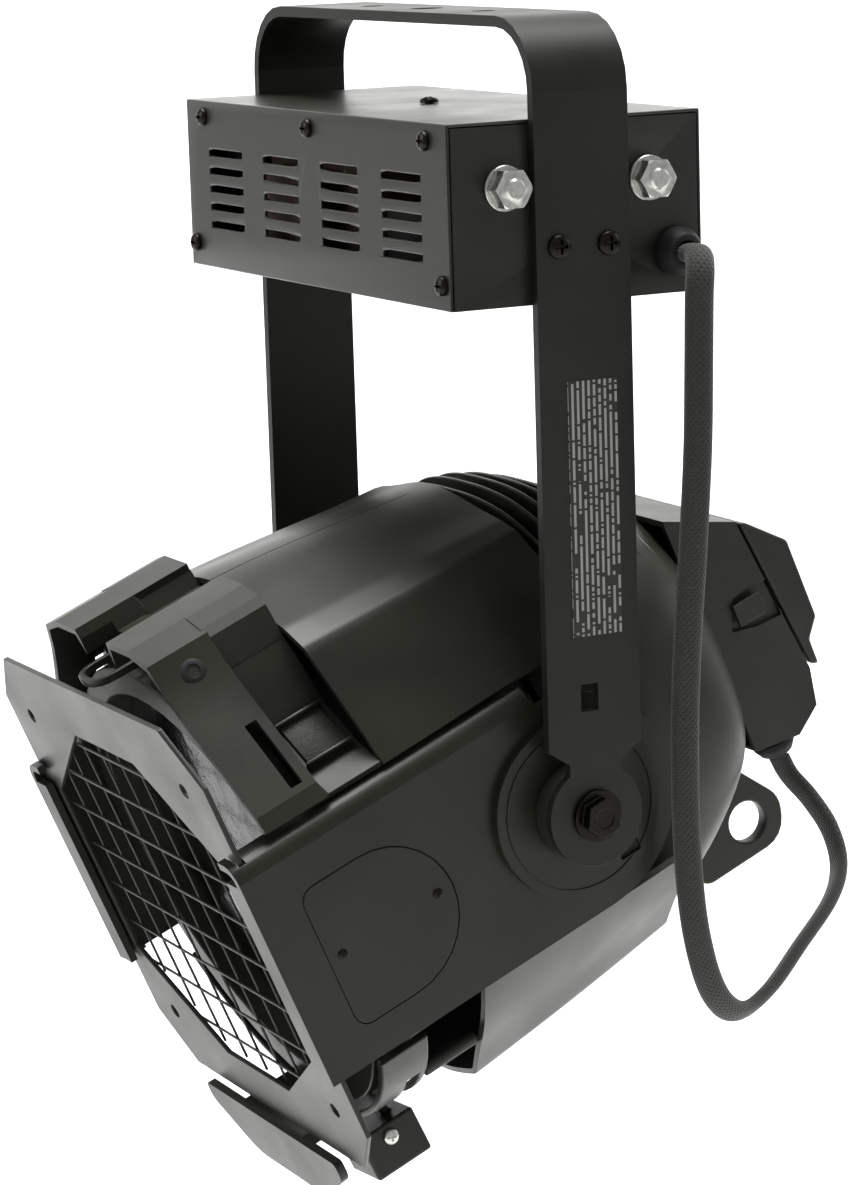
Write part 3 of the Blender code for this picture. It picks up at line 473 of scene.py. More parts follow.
def crisp(obj):
    """Keeps wide flat faces flat beside their narrow rounded edges."""
    custom = obj.data.attributes.get("custom_normal")
    if custom:
        obj.data.attributes.remove(custom)
    obj.data.shade_smooth()
    shape = bmesh.new()
    shape.from_mesh(obj.data)
    areas = {face: face.calc_area() for face in shape.faces}
    for edge in shape.edges:
        if len(edge.link_faces) != 2:
            continue
        first, second = (areas[face] for face in edge.link_faces)
        turn = edge.calc_face_angle(0)
        uneven = max(first, second) > WIDE_TO_NARROW * max(min(first, second), SMALLEST_AREA)
        edge.smooth = not (turn > SMOOTH_ANGLE or (uneven and turn > FLAT_ANGLE))
    shape.to_mesh(obj.data)
    shape.free()
    return obj


def smooth(obj, angle=SMOOTH_ANGLE):
    obj.data.shade_smooth()
    obj.data.set_sharp_from_angle(angle=angle)
    return obj


def bevelled(obj, width, segments=3, limit=30):
    """Rounds the edges sharper than limit degrees."""
    bevel = obj.modifiers.new("edges", "BEVEL")
    bevel.width = width
    bevel.segments = segments
    bevel.limit_method = "ANGLE"
    bevel.angle_limit = math.radians(limit)
    bevel.use_clamp_overlap = True
    obj.data.shade_smooth()
    return obj


def weighted(obj, shortest, limit=40):
    """Keeps the bevel to edges longer than shortest that turn by more than limit degrees."""
    shape = bmesh.new()
    shape.from_mesh(obj.data)
    weight = shape.edges.layers.float.new("bevel_weight_edge")
    for edge in shape.edges:
        if edge.calc_length() > shortest and edge.calc_face_angle(0) > math.radians(limit):
            edge[weight] = 1.0
    shape.to_mesh(obj.data)
    shape.free()
    obj.modifiers["edges"].limit_method = "WEIGHT"
    return obj


def boolean(obj, other, operation="DIFFERENCE"):
    """Cuts or joins obj with other, which is used up."""
    modifier = obj.modifiers.new(operation, "BOOLEAN")
    modifier.operation = operation
    modifier.object = other
    made = settled(obj)
    bpy.data.objects.remove(other)
    return made


def copied(node, name, whole=True):
    """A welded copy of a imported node, with its flat faces made whole unless holes pierce them."""
    mesh = NODES[node].data.copy()
    shape = bmesh.new()
    shape.from_mesh(mesh)
    bmesh.ops.remove_doubles(shape, verts=shape.verts, dist=WELD)
    if whole:
        bmesh.ops.dissolve_limit(
            shape, angle_limit=COPLANAR, verts=shape.verts, edges=shape.edges, delimit=set()
        )
    shape.to_mesh(mesh)
    shape.free()
    mesh.materials.clear()
    return new_object(name, mesh)


def refined(node, edge, name, segments=3, limit=30, cutters=(), joins=(), shortest=None, whole=True):
    """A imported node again, with its edges rounded and any cuts made, standing for the node."""
    made = copied(node, name, whole)
    for other in joins:
        made = boolean(made, other, "UNION")
    for cutter in cutters:
        made = boolean(made, cutter)
    bevelled(made, edge, segments, limit)
    if shortest is not None:
        weighted(made, shortest)
    made = crisp(settled(made))
    paint(made, finish(SLOT_OF[node]))
    return placed(made, BODY_OF[node], [node])


def solid(shape, name, matrix):
    """Places a closed shape, turns its faces outwards and makes it an object."""
    mesh = bpy.data.meshes.new(name)
    shape.transform(matrix)
    # The head's frame mirrors, so the faces' stored normals are made new before they are turned
    shape.normal_update()
    bmesh.ops.recalc_face_normals(shape, faces=shape.faces)
    if shape.calc_volume(signed=True) < 0:
        bmesh.ops.reverse_faces(shape, faces=shape.faces)
    shape.to_mesh(mesh)
    shape.free()
    return new_object(name, mesh)


def block(size, at, edge=0.0, turn=None, matrix=None):
    """A box with rounded edges, in the head's frame unless a matrix is given."""
    shape = bmesh.new()
    bmesh.ops.create_cube(shape, size=1)
    bmesh.ops.scale(shape, vec=size, verts=shape.verts)
    if edge:
        bmesh.ops.bevel(shape, geom=shape.edges, offset=edge, segments=2, affect="EDGES", profile=0.5)
    place = Matrix.Translation(at)
    if turn is not None:
        place = place @ turn
    return solid(shape, "block", (HEAD if matrix is None else matrix) @ place)


def drum(radius, length, at, axis, sides=32, matrix=None):
    """A cylinder about X or Z of the head's frame unless a matrix is given."""
    shape = bmesh.new()
    bmesh.ops.create_cone(
        shape, cap_ends=True, segments=sides, radius1=radius, radius2=radius, depth=length
    )
    turn = {"X": Matrix.Rotation(math.pi / 2, 4, "Y"), "Z": Matrix()}[axis]
    return solid(shape, "drum", (HEAD if matrix is None else matrix) @ Matrix.Translation(at) @ turn)


def extruded(outline, low, high, axis, matrix=None):
    """A flat outline pulled along one axis: along X its points are (forward, up), along Y (across, up)."""
    shape = bmesh.new()
    order = {"X": lambda a, b, c: (c, a, b), "Y": lambda a, b, c: (a, c, b)}[axis]
    rings = [[shape.verts.new(order(a, b, level)) for a, b in outline] for level in (low, high)]
    shape.faces.new(rings[0])
    shape.faces.new(rings[1])
    for index in range(len(outline)):
        following = (index + 1) % len(outline)
        shape.faces.new((rings[0][index], rings[0][following], rings[1][following], rings[1][index]))
    return solid(shape, "extruded", HEAD if matrix is None else matrix)


def arc(centre, radius, start, end, steps):
    """Points of an arc, its angles in degrees."""
    points = []
    for step in range(steps + 1):
        angle = math.radians(start + (end - start) * step / steps)
        points.append((centre[0] + radius * math.cos(angle), centre[1] + radius * math.sin(angle)))
    return points


def skin(name, stations, wall, levels, closed=False, creases=None):
    """A skin lofted through rows of head-frame points, smoothed, then thickened inwards.

    creases maps a column of the rows to how sharp its line along the head stays.
    """
    mesh = bpy.data.meshes.new(name)
    shape = bmesh.new()
    sharp = shape.edges.layers.float.new("crease_edge")
    rows = [[shape.verts.new(point) for point in row] for row in stations]
    columns = len(rows[0])
    outward = 0.0
    for upper, lower in zip(rows, rows[1:]):
        for index in range(columns if closed else columns - 1):
            following = (index + 1) % columns
            face = shape.faces.new((upper[index], upper[following], lower[following], lower[index]))
            face.normal_update()
            middle = face.calc_center_median()
            outward += face.normal.dot(Vector((middle.x, 0, middle.z)))
    for column, weight in (creases or {}).items():
        for upper, lower in zip(rows, rows[1:]):
            shape.edges.get((upper[column], lower[column]))[sharp] = weight
    if not closed:
        for row in (rows[0], rows[-1]):
            for first, second in zip(row, row[1:]):
                shape.edges.get((first, second))[sharp] = 1.0
    # The head's frame mirrors: faces that look inwards here look outwards once they are placed
    if outward > 0:
        bmesh.ops.reverse_faces(shape, faces=shape.faces)
    shape.transform(HEAD)
    shape.to_mesh(mesh)
    shape.free()
    made = new_object(name, mesh)
    subdivision = made.modifiers.new("smooth", "SUBSURF")
    subdivision.levels = levels
    solidify = made.modifiers.new("wall", "SOLIDIFY")
    solidify.thickness = wall
    solidify.offset = -1
    solidify.use_even_offset = True
    return made


def mirrored(section):
    """A half section with its other side, from one edge over the middle to the other."""
    return list(section) + [(-across, up) for across, up in reversed(section) if across > 1e-6]


def in_mm(section):
    """Pairs of millimetres as pairs of metres."""
    return [(across * MM, up * MM) for across, up in section]


# Geometry Nodes


def geometry_tree(name, inputs):
    """An empty tree with named inputs, given as name: (socket type, value)."""
    tree = bpy.data.node_groups.new(name, "GeometryNodeTree")
    tree.interface.new_socket("Geometry", in_out="OUTPUT", socket_type="NodeSocketGeometry")
    tree.interface.new_socket("Geometry", in_out="INPUT", socket_type="NodeSocketGeometry")
    for label, (kind, _) in inputs.items():
        tree.interface.new_socket(label, in_out="INPUT", socket_type=kind)
    return tree, tree.nodes.new("NodeGroupInput"), tree.nodes.new("NodeGroupOutput")


def grown(name, tree, inputs, mesh=None):
    """Runs a tree on a new object and returns its settled result."""
    made = new_object(name, mesh or bpy.data.meshes.new(name))
    modifier = made.modifiers.new(name, "NODES")
    modifier.node_group = tree
    for item in tree.interface.items_tree:
        if item.in_out == "INPUT" and item.name in inputs:
            modifier[item.identifier] = inputs[item.name][1]
    return settled(made)


def closing(tree, geometry, material, output):
    """Ends a tree in Realize Instances and Set Material."""
    real = add_node(tree, "GeometryNodeRealizeInstances", {0: geometry})
    named = add_node(tree, "GeometryNodeSetMaterial", {"Geometry": real.outputs[0], "Material": material})
    tree.links.new(named.outputs[0], output.inputs[0])


def copies_of(name, shape, places, material):
    """Copies of one small shape at (position, axis) places, made in a tree as one mesh."""
    points = bpy.data.meshes.new(name)
    points.from_pydata([tuple(place) for place, _ in places], [], [])
    attribute = points.attributes.new("facing", "FLOAT_VECTOR", "POINT")
    for index, (_, axis) in enumerate(places):
        attribute.data[index].vector = axis
    inputs = {"Size": ("NodeSocketFloat", 1.0)}
    tree, start, end = geometry_tree(name, inputs)
    facing = add_node(
        tree, "GeometryNodeInputNamedAttribute", {"Name": "facing"}, data_type="FLOAT_VECTOR"
    )
    turn = add_node(tree, "FunctionNodeAlignRotationToVector", {"Vector": facing.outputs[0]}, axis="Z")
    source = add_node(tree, "GeometryNodeObjectInfo", {"Object": shape})
    spread = add_node(
        tree, "GeometryNodeInstanceOnPoints",
        {"Points": start.outputs["Geometry"], "Instance": source.outputs["Geometry"],
         "Rotation": turn.outputs[0], "Scale": start.outputs["Size"]},
    )
    closing(tree, spread.outputs[0], material, end)
    made = grown(name, tree, inputs, points)
    bpy.data.objects.remove(shape)
    return paint(smooth(made), material)


def turned_shape(profile, sides=28):
    """A turned solid about Z from (radius, height) points that start and end on the axis."""
    mesh = bpy.data.meshes.new("turned")
    shape = bmesh.new()
    top = shape.verts.new((0, 0, profile[0][1]))
    foot = shape.verts.new((0, 0, profile[-1][1]))
    rings = []
    for radius, height in profile[1:-1]:
        ring = []
        for side in range(sides):
            angle = 2 * math.pi * side / sides
            ring.append(shape.verts.new((radius * math.cos(angle), radius * math.sin(angle), height)))
        rings.append(ring)
    for side in range(sides):
        following = (side + 1) % sides
        shape.faces.new((top, rings[0][side], rings[0][following]))
        for upper, lower in zip(rings, rings[1:]):
            shape.faces.new((upper[side], lower[side], lower[following], upper[following]))
        shape.faces.new((foot, rings[-1][following], rings[-1][side]))
    bmesh.ops.recalc_face_normals(shape, faces=shape.faces)
    shape.to_mesh(mesh)
    shape.free()
    return new_object("turned", mesh)


def cross_screw(head, height, shank, length):
    """A pan-head screw with a cross recess, its seat at the origin and its head along +Z."""
    profile = [(0, height)]
    steps = 6
    for step in range(1, steps + 1):
        angle = step / steps * math.pi / 2
        profile.append((head * math.sin(angle) ** 0.85, height * (0.25 + 0.75 * math.cos(angle))))
    profile += [(head, 0.0), (shank, 0.0), (shank, -length), (0, -length)]
    made = turned_shape(profile)
    arm = head * 1.15
    width = head * 0.24
    level = Matrix.Identity(4)
    for size in ((arm, width, height), (width, arm, height)):
        made = boolean(made, block(size, (0, 0, height * 0.86), matrix=level))
    return made


# Operators


# The camera: its lens, its turn, the level offset and height of what it faces, and how far off it stands
LENS, SENSOR, FAR_CLIP = 115.55, 36.0, 50.0
AZIMUTH, ELEVATION, ROLL = (math.radians(value) for value in (63.004, 10.864, -1.80))
SIGHT_OFFSET, SIGHT_HEIGHT, DISTANCE = -0.006097, -0.222208, 1.46313
# The paper sweep: how far it lies under the model, its half width, and its section from front to back
FLOOR_DROP, FLOOR_HALF_WIDTH = 0.25, 5.0
SWEEP = [(-4.0, 0.0), *arc((2.4, 1.2), 1.2, 270, 360, 16), (3.6, 3.5)]
WORLD_STRENGTH = 0.4
# Softboxes: name, place, what they face, side of the square, watts
MODEL_MIDDLE, BACKDROP = (0, 0, -0.2), (-2.2, 1.2, 0.4)
SOFTBOXES = (
    ("front_softbox", (-0.9, -2.2, 0.8), MODEL_MIDDLE, 1.4, 23),
    ("top_softbox", (-0.2, 0.1, 2.3), MODEL_MIDDLE, 1.4, 44),
    ("rear_strip", (0.5, 2.3, 0.6), MODEL_MIDDLE, 1.0, 7),
    ("backdrop_softbox", (-0.6, 0.3, 2.6), BACKDROP, 2.4, 175),
)


class PARCAN_OT_stage(bpy.types.Operator):
    """Camera, pale floor and soft studio light"""

    bl_idname = "parcan.stage"
    bl_label = "Stage"

    def execute(self, context):
        level = Vector((math.cos(AZIMUTH), math.sin(AZIMUTH), 0))
        self.camera(context.scene, level)
        self.floor(level)
        world = bpy.data.worlds.new("studio")
        context.scene.world = world
        world.use_nodes = True
        background = world.node_tree.nodes["Background"]
        background.inputs["Color"].default_value = linear("#FFFFFF")
        background.inputs["Strength"].default_value = WORLD_STRENGTH
        for softbox in SOFTBOXES:
            self.light(*softbox)
        context.scene.view_settings.view_transform = "Standard"
        return {"FINISHED"}

    def camera(self, scene, level):
        data = bpy.data.cameras.new("camera")
        data.lens = LENS
        data.sensor_width = SENSOR
        data.clip_end = FAR_CLIP
        camera = new_object("camera", data)
        reach = math.cos(ELEVATION)
        ahead = Vector((-math.sin(AZIMUTH) * reach, math.cos(AZIMUTH) * reach, -math.sin(ELEVATION)))
        over = level.cross(ahead)
        right = math.cos(ROLL) * level + math.sin(ROLL) * over
        above = -math.sin(ROLL) * level + math.cos(ROLL) * over
        place = level * SIGHT_OFFSET + Vector((0, 0, SIGHT_HEIGHT)) - ahead * DISTANCE
        turn = Matrix((right, above, -ahead)).transposed().to_4x4()
        camera.matrix_world = Matrix.Translation(place) @ turn
        scene.camera = camera

    def floor(self, level):
        """White paper that lies under the model and bends up behind it."""
        height = CAD_BOX[0][2] - FLOOR_DROP
        back = Vector((-level.y, level.x, 0))
        points = []
        for along, rise in SWEEP:
            for side in (-FLOOR_HALF_WIDTH, FLOOR_HALF_WIDTH):
                spot = back * along + level * side
                points.append((spot.x, spot.y, height + rise))
        faces = [(i * 2, i * 2 + 1, i * 2 + 3, i * 2 + 2) for i in range(len(SWEEP) - 1)]
        mesh = bpy.data.meshes.new("studio_floor")
        mesh.from_pydata(points, [], faces)
        mesh.shade_smooth()
        stage = new_object("studio_floor", mesh)
        constants = {"Base Color": linear("#F4F4F3"), "Roughness": 0.9, "Specular IOR Level": 0.1}
        paint(stage, blank_material("matt_white_paper", constants)[0])

    def light(self, name, place, target, size, watts):
        data = bpy.data.lights.new(name, "AREA")
        data.shape = "SQUARE"
        data.size = size
        data.energy = watts
        lamp = new_object(name, data)
        place = Vector(place)
        turn = (Vector(target) - place).to_track_quat("-Z", "Y")
        lamp.matrix_world = Matrix.Translation(place) @ turn.to_matrix().to_4x4()


# The label on the outside of the right arm: its size, and its place on the arm
LABEL_SIZE = Vector((0.25, 20, 92)) * MM
LABEL_ALONG, LABEL_HEIGHT = 2 * MM, -174 * MM


class PARCAN_OT_yoke(bpy.types.Operator):
    """Flat steel yoke with its printed label"""

    bl_idname = "parcan.yoke"
    bl_label = "Yoke"

    def execute(self, context):
        refined("yoke_strap", sizes().fold_edge, "steel_yoke")
        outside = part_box("yoke_strap")[1][0]
        middle = (outside + 0.12 * MM, LABEL_ALONG, LABEL_HEIGHT)
        label = block(LABEL_SIZE, middle, 0.05 * MM, matrix=Matrix.Identity(4))
        label.name = "arm_label"
        paint(label, vinyl_label())
        placed(label, "yoke")
        return {"FINISHED"}


class PARCAN_OT_ballast(bpy.types.Operator):
    """Folded ballast box, its control gear and gland"""

    bl_idname = "parcan.ballast"
    bl_label = "Ballast box"

    def execute(self, context):
        edge = sizes().fold_edge
        refined("ballast_cover", edge * 1.2, "folded_box_cover", segments=4, shortest=25 * MM, whole=False)
        refined("ballast_tray", edge * 0.4, "folded_box_tray", segments=2, whole=False)
        for node, rounding, name in (
            ("ballast_choke", 1.5 * MM, "wound_choke"),
            ("igniter", 1.5 * MM, "potted_igniter"),
            ("terminal_block", 0.8 * MM, "screw_terminal_block"),
            ("lead_gland", 0.5 * MM, "box_lead_gland"),
            ("head_gland", 0.5 * MM, "head_lead_gland"),
        ):
            refined(node, rounding, name)
        return {"FINISHED"}


# A box stud's nut, from its seat outwards: the hexagon, then as (radius, height) in mm what rounds
# its corners and its washer
NUT_RADIUS, NUT_LOW, NUT_HIGH = 7.5 * MM, 2.0 * MM, 8.2 * MM
NUT_CONE = [(0, 9.4), (5.3, 9.4), (8.4, 6.9), (8.4, 3.2), (6.2, 1.2), (0, 1.2)]
WASHER = [(0, 1.8), (7.9, 1.8), (8.1, 1.6), (8.1, 0.5), (7.9, 0.3), (0, 0.3)]
# The stud's end over the seat and its depth under it, both in mm, and the turns of thread that show
STUD_END, STUD_DEPTH, THREAD_TURNS, THREAD_PITCH = 9.3, 8.5, 3, 0.9
# The pivot bolts' outer faces, across from the pivot
BOLT_FACE = 121.3 * MM


class PARCAN_OT_fasteners(bpy.types.Operator):
    """Cross-head screws, studs with nuts, and pivot bolts"""

    bl_idname = "parcan.fasteners"
    bl_label = "Fasteners"

    def execute(self, context):
        pan = cross_screw(head=3.6 * MM, height=2.2 * MM, shank=1.5 * MM, length=0.9 * MM)
        self.copies("cover_screws", "cover_screw", pan, 2.2 * MM, "black_zinc_screw")
        pan = cross_screw(head=4.4 * MM, height=2.4 * MM, shank=2.0 * MM, length=7.0 * MM)
        self.copies("arm_screws", "arm_screw", pan, 2.4 * MM, "black_zinc_screw")
        self.studs()
        self.pivot_bolts()
        return {"FINISHED"}

    def facing(self, node):
        """The middle of a screw's or stud's outer end, and its outward direction, from its box."""
        low, high = (Vector(corner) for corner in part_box(node))
        middle = (low + high) / 2
        axis = Vector((0, 0, 0))
        if "lid" in node:
            axis.z = 1
        elif node.startswith("cover_screw"):
            axis.y = -1 if "front" in node else 1
        else:
            axis.x = 1 if middle.x > 0 else -1
        reach = (high - low).dot(Vector([abs(value) for value in axis])) / 2
        return middle + axis * reach, axis

    def copies(self, name, start, shape, height, slot):
        """Puts a shape, whose top is at height, over every node whose name begins with start."""
        nodes = [node for node in NODES if node.startswith(start)]
        places = [(end - axis * height, axis) for end, axis in map(self.facing, nodes)]
        placed(copies_of(name, shape, places, finish(slot)), "yoke", nodes)

    def studs(self):
        level = Matrix.Identity(4)
        middle = (0, 0, (NUT_LOW + NUT_HIGH) / 2)
        nut = drum(NUT_RADIUS, NUT_HIGH - NUT_LOW, middle, "Z", 6, level)
        nut = boolean(nut, turned_shape(in_mm(NUT_CONE), 36), "INTERSECT")
        nut = boolean(nut, turned_shape(in_mm(WASHER), 32), "UNION")
        thread = [(0, STUD_END), (3.1, STUD_END), (3.9, 8.6)]
        for turn in range(THREAD_TURNS):
            thread += [(3.4, 8.4 - turn * THREAD_PITCH), (3.95, 8.0 - turn * THREAD_PITCH)]
        thread += [(3.9, -STUD_DEPTH), (0, -STUD_DEPTH)]
        nut = boolean(nut, turned_shape(in_mm(thread)), "UNION")
        self.copies("box_studs", "stud_", nut, STUD_END * MM, "zinc_fastener")

    def pivot_bolts(self):
        for side, sign in SIDES:
            stamp = drum(3.6 * MM, 1.2 * MM, (sign * BOLT_FACE, 0, 0), "X", 24)
            refined("pivot_bolt_" + side, 0.5 * MM, "pivot_bolt_set_" + side, cutters=[stamp])
            refined("friction_spacer_" + side, 0.8 * MM, "pivot_spacer_" + side)


# Across from the pivot: the side panels' flat faces, and their round bosses'
PANEL_FACE, BOSS_FACE = 98.5 * MM, 102.0 * MM


class PARCAN_OT_panels(bpy.types.Operator):
    """Side panels with their access covers"""

    bl_idname = "parcan.panels"
    bl_label = "Side panels"

    def execute(self, context):
        for side, sign in SIDES:
            boss = (sign * BOSS_FACE, 0, 0)
            groove = drum(30.6 * MM, 1.0 * MM, boss, "X", 64)
            groove = boolean(groove, drum(29.8 * MM, 3 * MM, boss, "X", 64))
            stop_at = (sign * (BOSS_FACE - 0.6 * MM), -12 * MM, -25 * MM)
            stop = block(Vector((3.2, 9, 5)) * MM, stop_at, 0.6 * MM)
            cutters = [groove, stop]
            refined("side_panel_" + side, 1.2 * MM, "cast_side_panel_" + side, cutters=cutters, limit=35)
            refined("access_cover_" + side, 0.45 * MM, "access_plate_" + side)
            screw = cross_screw(head=2.0 * MM, height=0.7 * MM, shank=1.0 * MM, length=0.4 * MM)
            across = sign * (PANEL_FACE + 0.02 * MM)
            axis = Vector((sign, 0, 0))
            places = [(at_head(across, forward, 0), axis) for forward in (104 * MM, 62 * MM)]
            made = copies_of("access_screws_" + side, screw, places, finish("black_zinc_screw"))
            placed(made, "head")
        return {"FINISHED"}


# Half sections of the collar in mm, as (across, up): the slot in the slope beside each latch block,
# the bridge that ties the block to the collar, and the sunk pad's foot and head
SLOPE_SLOT = (60, 89.5), (91, 60.5)
BRIDGE = [(52.5, 98), (49.5, 111), (46, 114.2), (36, 117), (15, 117), (15, 110), (36, 110)]
SUNK_PAD = (79.0, 59.9), (63.6, 72.2)
# A collar plug as (radius, height) in mm, and its place and direction in the head's frame
PLUG = [(0, 0.1), (2.2, 0.1), (2.6, 0.7), (4.2, 0.7), (4.8, 0.3), (4.8, -1.5), (0, -1.5)]
PLUG_AT = Vector((53.0, 96, 104.4)) * MM
PLUG_ACROSS, PLUG_UP = 0.86, 0.5


class PARCAN_OT_collar(bpy.types.Operator):
    """Front collar with the latch blocks, vents and recessed pads"""

    bl_idname = "parcan.collar"
    bl_label = "Front collar"

    def execute(self, context):
        cutters, bridges = [], []
        start, end = (Vector(point) * MM for point in SLOPE_SLOT)
        run = end - start
        middle = (start + end) / 2 + Vector((run.y, -run.x)).normalized() * 1.2 * MM
        for _, sign in SIDES:
            turn = Matrix.Rotation(-math.atan2(run.y, run.x) * sign, 4, "Y")
            slot_at = (sign * middle.x, 90.5 * MM, middle.y)
            cutters.append(block((run.length * 0.94, 5.0 * MM, 8 * MM), slot_at, turn=turn))
            points = [(sign * across, up) for across, up in in_mm(BRIDGE)]
            bridges.append(extruded(points, 59.5 * MM, 85 * MM, "Y"))
        edge = sizes().casting_edge
        refined("front_collar", edge, "cast_front_collar", limit=12, cutters=cutters, joins=bridges)
        self.plugs()
        self.recess()
        return {"FINISHED"}

    def plugs(self):
        """Round plugs on the sloping sides of the blocks."""
        for side, sign in SIDES:
            normal = (ACROSS * sign * PLUG_ACROSS + UPWARD * PLUG_UP).normalized()
            place = at_head(sign * PLUG_AT.x, PLUG_AT.y, PLUG_AT.z)
            plug = turned_shape(in_mm(PLUG))
            made = copies_of("collar_plug_" + side, plug, [(place, normal)], finish("black_rubber"))
            placed(made, "head")

    def recess(self):
        """Grained pads and cross ribs on the sunk part of the collar."""
        grained = rough_casting()
        low, high = (Vector(point) * MM for point in SUNK_PAD)
        run = high - low
        out = Vector((run.y, -run.x)).normalized()
        for side, sign in SIDES:
            turn = Matrix.Rotation(sign * math.atan2(run.y, -run.x), 4, "Y")
            pad_size = (run.length - 1 * MM, 17 * MM, 1.6 * MM)
            rib_size = (1.4 * MM, 20 * MM, 4.4 * MM)
            for name, size, foot, rise in (
                ("collar_pad_" + side, pad_size, (low + high) / 2, 0.5 * MM),
                ("collar_rib_%s_1" % side, rib_size, low, 1.4 * MM),
                ("collar_rib_%s_2" % side, rib_size, high, 1.4 * MM),
            ):
                middle = foot + out * rise
                made = block(size, (sign * middle.x, 71 * MM, middle.y), 0.4 * MM, turn)
                made.name = name
                cast(smooth(made))
                if "pad" in name:
                    paint(made, grained)


SHELL_WALL, REAR_WALL = 2.5 * MM, 3 * MM
# Half sections of the shells as (forward, (across, up) points) in mm, and how sharp each column stays
TOP_SHELL = (
    (59, [(94, 52.5), (84, 70), (66.5, 95.5), (55, 101.5), (35, 106.2), (15, 111.4), (0, 112.4)]),
    (36, [(94, 52.7), (83, 70), (65.8, 94.4), (54.5, 99.6), (35, 104), (15, 109.6), (0, 110.8)]),
    (12, [(93.5, 53), (81.5, 69.5), (64, 92.6), (53, 97), (35, 100.8), (15, 106.2), (0, 107.5)]),
    (-14, [(93.3, 53), (80, 69.5), (61.8, 90.4), (51, 94), (35, 97.2), (15, 102.5), (0, 103.9)]),
    (-38, [(93, 53), (78, 70), (59.5, 89), (49, 91.8), (35, 94.2), (15, 99), (0, 100.4)]),
)
TOP_CREASES = {0: 1.0, 12: 1.0, 2: 0.75, 10: 0.75, 3: 0.55, 9: 0.55, 4: 0.3, 8: 0.3}
BOTTOM_SHELL = (
    (-38, [(93, -44.5), (84, -54), (71, -66), (58, -77), (43, -91), (20, -98), (0, -99)]),
    (10, [(94, -44.5), (85, -55), (72.5, -68), (59.5, -79.5), (44, -96), (20, -103), (0, -104)]),
    (59, [(94.5, -44.5), (86, -56), (74, -70), (61, -82), (45, -99), (20, -106.5), (0, -107.5)]),
)
BOTTOM_CREASES = {0: 1.0, 12: 1.0, 4: 0.7, 8: 0.7}
# The groove along the top: how far it falls towards the rear
TOP_SLOPE = math.radians(6.9)


class PARCAN_OT_shells(bpy.types.Operator):
    """Top and bottom shells of the head"""

    bl_idname = "parcan.shells"
    bl_label = "Shells"

    def execute(self, context):
        slope = Matrix.Rotation(TOP_SLOPE, 4, "X")
        seam = block(Vector((0.6, 130, 2.4)) * MM, Vector((0, 12, 107.4)) * MM, turn=slope)
        self.shell("top_shell", "cast_top_shell", TOP_SHELL, TOP_CREASES, [seam], 0.35 * MM)
        vents = [
            drum(4.2 * MM, 40 * MM, (sign * 30 * MM, -6 * MM, -100 * MM), "Z", 24) for _, sign in SIDES
        ]
        self.shell("bottom_shell", "cast_bottom_shell", BOTTOM_SHELL, BOTTOM_CREASES, vents, 0.5 * MM)
        return {"FINISHED"}

    def shell(self, node, name, sections, creases, cutters, edge):
        rows = [
            [(across, forward * MM, up) for across, up in mirrored(in_mm(section))]
            for forward, section in sections
        ]
        made = settled(skin(name, rows, SHELL_WALL, levels=3, creases=creases))
        for cutter in cutters:
            made = boolean(made, cutter)
        cast(crisp(settled(bevelled(made, edge, 2, 50))), node)


# The rear body's rings in mm, from front to rear: half width, top, bottom and place along the head
REAR_RINGS = (
    (84, 78, -80, -12), (84, 78, -80, -38.3), (89, 84, -88, -41.3), (88.5, 81, -80, -55),
    (86, 77, -71, -68), (82, 72, -61, -80), (74, 66, -52, -90), (56, 60, -46, -98),
)
RING_POINTS, RING_POWER = 40, 0.75
# The fins: the arc that they cover in degrees, their outer and inner half width and top in mm, half
# their thickness, and the first one's place along the head
FIN_ARC = 24, 156
FIN_OUTER, FIN_INNER, FIN_HALF = (87, 97), (80, 76), 0.8 * MM
FIRST_FIN = -44 * MM
# Outline of the sunk panel on the cap's sides in mm, as (forward, up), and the side's place
CAP_RECESS = [
    (-113.5, 14.5), (-123.5, 15.5), (-131, 14), (-130.5, -2), (-120, -0.8), (-108.5, 2.6), (-109, 5),
]
CAP_SIDE = 50 * MM


